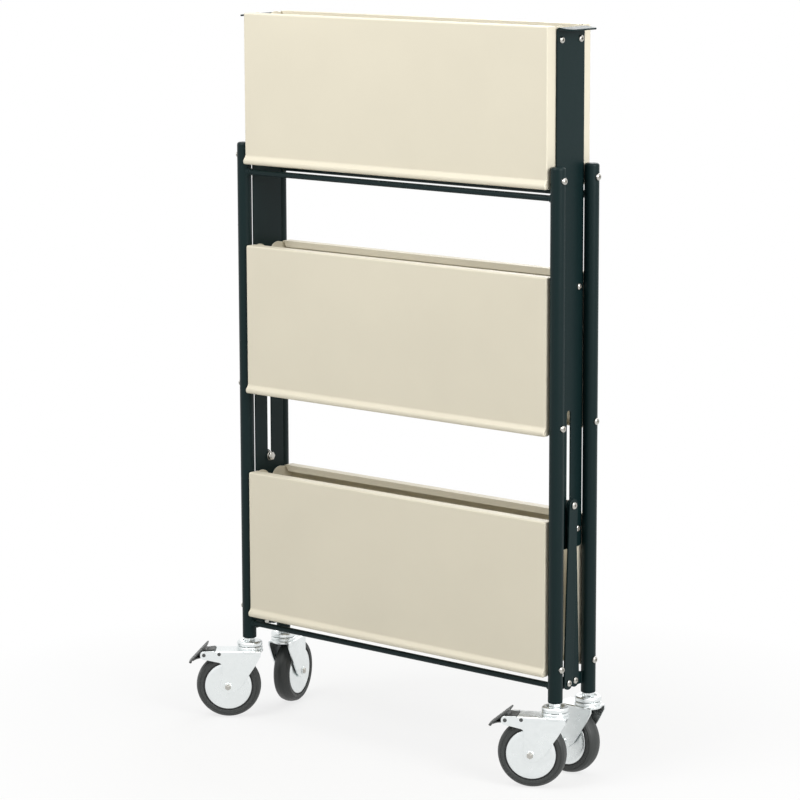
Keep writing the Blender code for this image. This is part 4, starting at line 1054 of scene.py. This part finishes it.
class TROLLEY_OT_wheels(bpy.types.Operator):
    """Model the four wheels: bright discs, black rim rings and rounded tyres"""

    bl_idname = "trolley.wheels"
    bl_label = "Wheels"

    def execute(self, context):
        settings = context.scene.trolley
        sizes = settings.casters
        bore = sizes.axle / 2 + 0.4 * MM
        disc = sizes.disc / 2
        rim = sizes.rim / 2
        hub = sizes.hub_width / 2
        half = sizes.tyre_width / 2
        tread = AXLE_Z
        band = rim + 4.5 * MM
        groove = half - 1 * MM
        centre = wheel_ring([
            (bore, hub, 0.3 * MM), (9.5 * MM, hub, 0.8 * MM), (12 * MM, half + 0.4 * MM, 2 * MM),
            (disc - 4 * MM, half, 6 * MM), (disc, half - 1.2 * MM, 1 * MM), (disc, half - 4 * MM, 0)])
        ring = wheel_ring([(disc - 0.6 * MM, half - 2.6 * MM, 0.4 * MM), (rim, half - 2.2 * MM, 0.6 * MM)])
        rubber = wheel_ring([
            (rim - 0.6 * MM, half - 3.4 * MM, 0), (rim, half - 0.4 * MM, 0.8 * MM), (band, half, 0.6 * MM),
            (band + 0.4 * MM, groove, 0.3 * MM), (band + 1.2 * MM, groove, 0.3 * MM),
            (band + 1.8 * MM, half - 0.3 * MM, 1 * MM), (tread - 1.8 * MM, 0.7 * half, 4 * MM),
            (tread, 0.2 * half, 8 * MM)])
        rings = (("disc", to_mesh(centre, "disc"), zinc_plate(settings), "wheel_disc", ["hub"]),
                 ("rim", to_mesh(ring, "rim"), rim_plastic(settings), "rubber", []),
                 ("tyre", to_mesh(rubber, "tyre"), tyre_rubber(settings), "rubber", ["tyre"]))
        for corner in CORNERS:
            place = caster_place(corner) @ shift(TRAIL, 0, AXLE_Z)
            for name, mesh, finish, slot, nodes in rings:
                add_piece(f"{name}_{corner}", mesh, place, finish, f"{corner}_wheel", slot,
                          *[f"{corner}_caster_{node}" for node in nodes])
        return {"FINISHED"}


class TROLLEY_OT_brake_pedals(bpy.types.Operator):
    """Model the two brake pedals: ribbed plate on a hollow arm, tongue and pivot pin"""

    bl_idname = "trolley.brake_pedals"
    bl_label = "Brake Pedals"

    def execute(self, context):
        settings = context.scene.trolley
        sizes = settings.casters
        half = sizes.pedal_width / 2
        inside = half - 1 * MM
        # The outer end of the plate lies behind and below the pivot, and the plate rises back over it
        lie = shift(27 * MM, 0, -11 * MM) @ Matrix.Rotation(math.pi + sizes.pedal_tilt, 4, "Y")

        def under(share):
            """A point in the plate's thickness, at a share of its length from the outer end."""
            point = lie @ Vector((share * sizes.pedal_length, 0, sizes.pedal_sheet / 2))
            return point.x, point.z, 0

        def strip(corners, reach):
            """A bar across the pedal, with an outline seen from its side."""
            return soften(placed(plate(corners, (0, 2 * reach, 0), "XZ"), shift(0, -reach)), 0.4 * MM)

        roll = 2 * MM
        roll_end = half - 5 * MM
        rolled_end = placed(rod(roll, -roll_end, roll_end, 1.2 * MM), TO_Y, shift(roll, 0, roll), lie)
        skin = strip(in_mm((20, -9, 0), (13, -6.3, 12), (2, -5.2, 0), (2, -3.9, 0), (13, -4.6, 12),
                           (18.5, -5, 0)), inside)
        strut = strip(in_mm((5.2, 6, 0), (2.2, 8.4, 0), (-2, 1, 0), (2, 0, 0)), inside)
        tongue_line = in_mm((-4.7, 6.5, 1.2), (-17.3, 6.5, 0.6), (-17.3, 4, 0.6), (-6.5, 4, 2), (-4, -2, 0),
                            (2, -1, 0), (-2.6, 6.7, 1))
        tongue = strip([under(0.83), *tongue_line, under(0.64)], inside)
        web_line = in_mm((-4.7, 5.5, 0), (-4, -2, 0), (3, -4.5, 0), (14, -5.6, 0))
        web = strip([under(0.13), under(0.8), *web_line], 1.5 * MM)
        boss = placed(rod(5 * MM, -inside, inside, 0.6 * MM), TO_Y)
        sleeve_end = sizes.fork_width / 2 - sizes.fork_sheet - 0.5 * MM
        sleeve = placed(rod(4 * MM, -sleeve_end, sleeve_end, 0.4 * MM), TO_Y)
        pin = placed(cross_pin(2 * MM, sizes.rivet_head / 2, sizes.fork_width / 2 + 0.3 * MM, 1.2 * MM), TO_Y)
        step_plate = placed(self.step_plate(sizes, half), lie)
        pedal = to_mesh(joined(step_plate, rolled_end, skin, strut, tongue, web, boss, sleeve, pin), "pedal")
        for corner in BRAKED:
            pressed = math.radians(-JOINT[f"{corner}_pedal_hinge"]["range_deg"][0])
            place = caster_place(corner) @ shift(TAIL, 0, TAIL_Z) @ Matrix.Rotation(pressed, 4, "Y")
            add_piece(f"pedal_{corner}", pedal, place, pedal_coat(settings), f"{corner}_pedal", "pedal",
                      f"{corner}_brake_pedal")
        return {"FINISHED"}

    def step_plate(self, sizes, half):
        """The plate that the foot presses: rounded corners, a hole near its upper end, and low ribs."""
        end = sizes.pedal_length
        corner = 6 * MM
        first_rib = 8 * MM
        rib_pitch = 6 * MM
        rib_count = 5
        rib_reach = 0.75 * half
        shape = drawn([(0, -half, corner), (end, -half, corner), (end, half, corner), (0, half, corner)],
                      "XY", closed=True)
        bmesh.ops.create_circle(shape, cap_ends=False, segments=20, radius=2 * MM, matrix=shift(0.9 * end))
        bmesh.ops.triangle_fill(shape, use_beauty=True, use_dissolve=False, edges=shape.edges[:])
        soften(raised(shape, (0, 0, sizes.pedal_sheet)), 0.5 * MM)
        ribs = []
        for k in range(rib_count):
            bar = plate(in_mm((-1, 0.2, 0), (1, 0.2, 0), (0.6, -0.5, 0), (-0.6, -0.5, 0)),
                        (0, 2 * rib_reach, 0), "XZ")
            ribs.append(placed(bar, shift(first_rib + k * rib_pitch, -rib_reach)))
        return joined(shape, *ribs)


# Stage

class TROLLEY_OT_stage(bpy.types.Operator):
    """Set the pale floor, the soft studio light and the camera"""

    bl_idname = "trolley.stage"
    bl_label = "Stage"

    def execute(self, context):
        scene = context.scene
        scene.view_settings.view_transform = "Standard"
        self.floor(scene)
        self.world(scene)
        self.lamps(scene)
        self.camera(scene)
        return {"FINISHED"}

    def seen_white(self, tree):
        """1 for the rays that show the white background: those of the camera, of mirrors and of glass."""
        path = add_node(tree, "ShaderNodeLightPath").outputs
        mirror = {0: path["Is Glossy Ray"], 1: path["Is Transmission Ray"]}
        mirrored_ray = add_node(tree, "ShaderNodeMath", mirror, operation="MAXIMUM").outputs[0]
        seen = {0: path["Is Camera Ray"], 1: mirrored_ray}
        return add_node(tree, "ShaderNodeMath", seen, operation="MAXIMUM").outputs[0]

    def floor(self, scene):
        """A large pale floor. Far from the trolley it shows as plain white, near it it takes the shadow."""
        shape = bmesh.new()
        bmesh.ops.create_circle(shape, cap_ends=True, segments=96, radius=40.0)
        mesh = bpy.data.meshes.new("floor")
        shape.to_mesh(mesh)
        shape.free()
        finish, tree, shader, coords = new_finish("pale studio floor", 0.0, 1.45)
        shader.inputs["Base Color"].default_value = (*scene.trolley.colours.floor, 1.0)
        shader.inputs["Roughness"].default_value = 0.9
        shader.inputs["Specular IOR Level"].default_value = 0.0
        away = add_node(tree, "ShaderNodeVectorMath", {0: coords}, operation="LENGTH").outputs["Value"]
        clear = add_node(tree, "ShaderNodeMapRange", {
            "Value": away, "From Min": 0.35, "From Max": 0.9, "To Min": 0.78, "To Max": 1.0})
        share = add_node(tree, "ShaderNodeMath", {0: clear.outputs["Result"], 1: self.seen_white(tree)},
                         operation="MULTIPLY")
        white = add_node(tree, "ShaderNodeEmission", {"Color": (1.0, 1.0, 1.0, 1.0), "Strength": 1.0})
        mixed = add_node(tree, "ShaderNodeMixShader", {
            0: share.outputs[0], 1: shader.outputs["BSDF"], 2: white.outputs["Emission"]})
        tree.links.new(mixed.outputs["Shader"], tree.nodes["Material Output"].inputs["Surface"])
        mesh.materials.append(finish)
        floor = bpy.data.objects.new("floor", mesh)
        scene.collection.objects.link(floor)

    def world(self, scene):
        """White where it is seen or mirrored, and a soft even light on the pieces."""
        soft_light = 0.14
        world = bpy.data.worlds.new("studio")
        world.use_nodes = True
        tree = world.node_tree
        back = tree.nodes["Background"]
        back.inputs["Color"].default_value = (1.0, 1.0, 1.0, 1.0)
        level = add_node(tree, "ShaderNodeMath", {0: self.seen_white(tree), 1: soft_light},
                         operation="MAXIMUM")
        tree.links.new(level.outputs[0], back.inputs["Strength"])
        scene.world = world

    def lamps(self, scene):
        """Softboxes: strong from the right, softer from the front left, weak behind and broad overhead."""
        aim = Vector((0, 0, 0.6))
        for name, place, size, power in (
                ("right_softbox", (2.6, -0.3, 1.7), 1.4, 60.0),
                ("front_softbox", (-0.3, -1.6, 2.1), 1.2, 34.0),
                ("back_softbox", (-0.7, 2.3, 1.9), 1.6, 24.0),
                ("top_softbox", (0.0, 0.2, 3.2), 2.6, 40.0)):
            lamp = bpy.data.lights.new(name, "AREA")
            lamp.shape = "SQUARE"
            lamp.size = size
            lamp.energy = power
            obj = bpy.data.objects.new(name, lamp)
            obj.location = place
            obj.rotation_euler = (aim - Vector(place)).to_track_quat("-Z", "Y").to_euler()
            scene.collection.objects.link(obj)

    def camera(self, scene):
        """The camera stands to the right of the front, a little above the trolley, with a long lens."""
        turn = math.radians(40.49)
        tilt = math.radians(90 - 9.95)
        roll = math.radians(-0.17)
        lens = bpy.data.cameras.new("camera")
        lens.sensor_width = 36.0
        lens.lens = 144.54
        camera = bpy.data.objects.new("camera", lens)
        eye = shift(ORIGIN.x + 3.1117, ORIGIN.y - 3.6741, HINGE_Z["top"] + 0.4865)
        aimed = Matrix.Rotation(turn, 4, "Z") @ Matrix.Rotation(tilt, 4, "X")
        camera.matrix_world = eye @ aimed @ Matrix.Rotation(roll, 4, "Z")
        scene.collection.objects.link(camera)
        scene.camera = camera


OPERATORS = (
    TROLLEY_OT_stage,
    TROLLEY_OT_half_shelves,
    TROLLEY_OT_leg_tubes,
    TROLLEY_OT_rails,
    TROLLEY_OT_hinge_screws,
    TROLLEY_OT_posts,
    TROLLEY_OT_link_brackets,
    TROLLEY_OT_links,
    TROLLEY_OT_slot_bolts,
    TROLLEY_OT_caster_stems,
    TROLLEY_OT_caster_forks,
    TROLLEY_OT_axles,
    TROLLEY_OT_wheels,
    TROLLEY_OT_brake_pedals,
)


class TROLLEY_PT_panel(bpy.types.Panel):
    """Sizes, colours and steps of the trolley"""

    bl_idname = "TROLLEY_PT_panel"
    bl_label = "Folding Shelf Trolley"
    bl_space_type = "VIEW_3D"
    bl_region_type = "UI"
    bl_category = "Trolley"

    def draw(self, context):
        settings = context.scene.trolley
        for values in (settings.shelves, settings.frames, settings.fasteners, settings.casters,
                       settings.colours):
            column = self.layout.column(align=True)
            for name in values.bl_rna.properties.keys():
                if name not in ("rna_type", "name"):
                    column.prop(values, name)
        for operator in OPERATORS:
            self.layout.operator(operator.bl_idname)


CLASSES = (ShelfSizes, FrameSizes, FastenerSizes, CasterSizes, FinishColours, TrolleySettings, *OPERATORS,
           TROLLEY_PT_panel)


def register():
    for cls in CLASSES:
        bpy.utils.register_class(cls)
    bpy.types.Scene.trolley = group("Trolley", TrolleySettings, "Settings of the trolley")


def unregister():
    del bpy.types.Scene.trolley
    for cls in reversed(CLASSES):
        bpy.utils.unregister_class(cls)


def main():
    register()
    for operator in OPERATORS:
        group_name, name = operator.bl_idname.split(".")
        getattr(getattr(bpy.ops, group_name), name)()


if __name__ == "__main__":
    main()
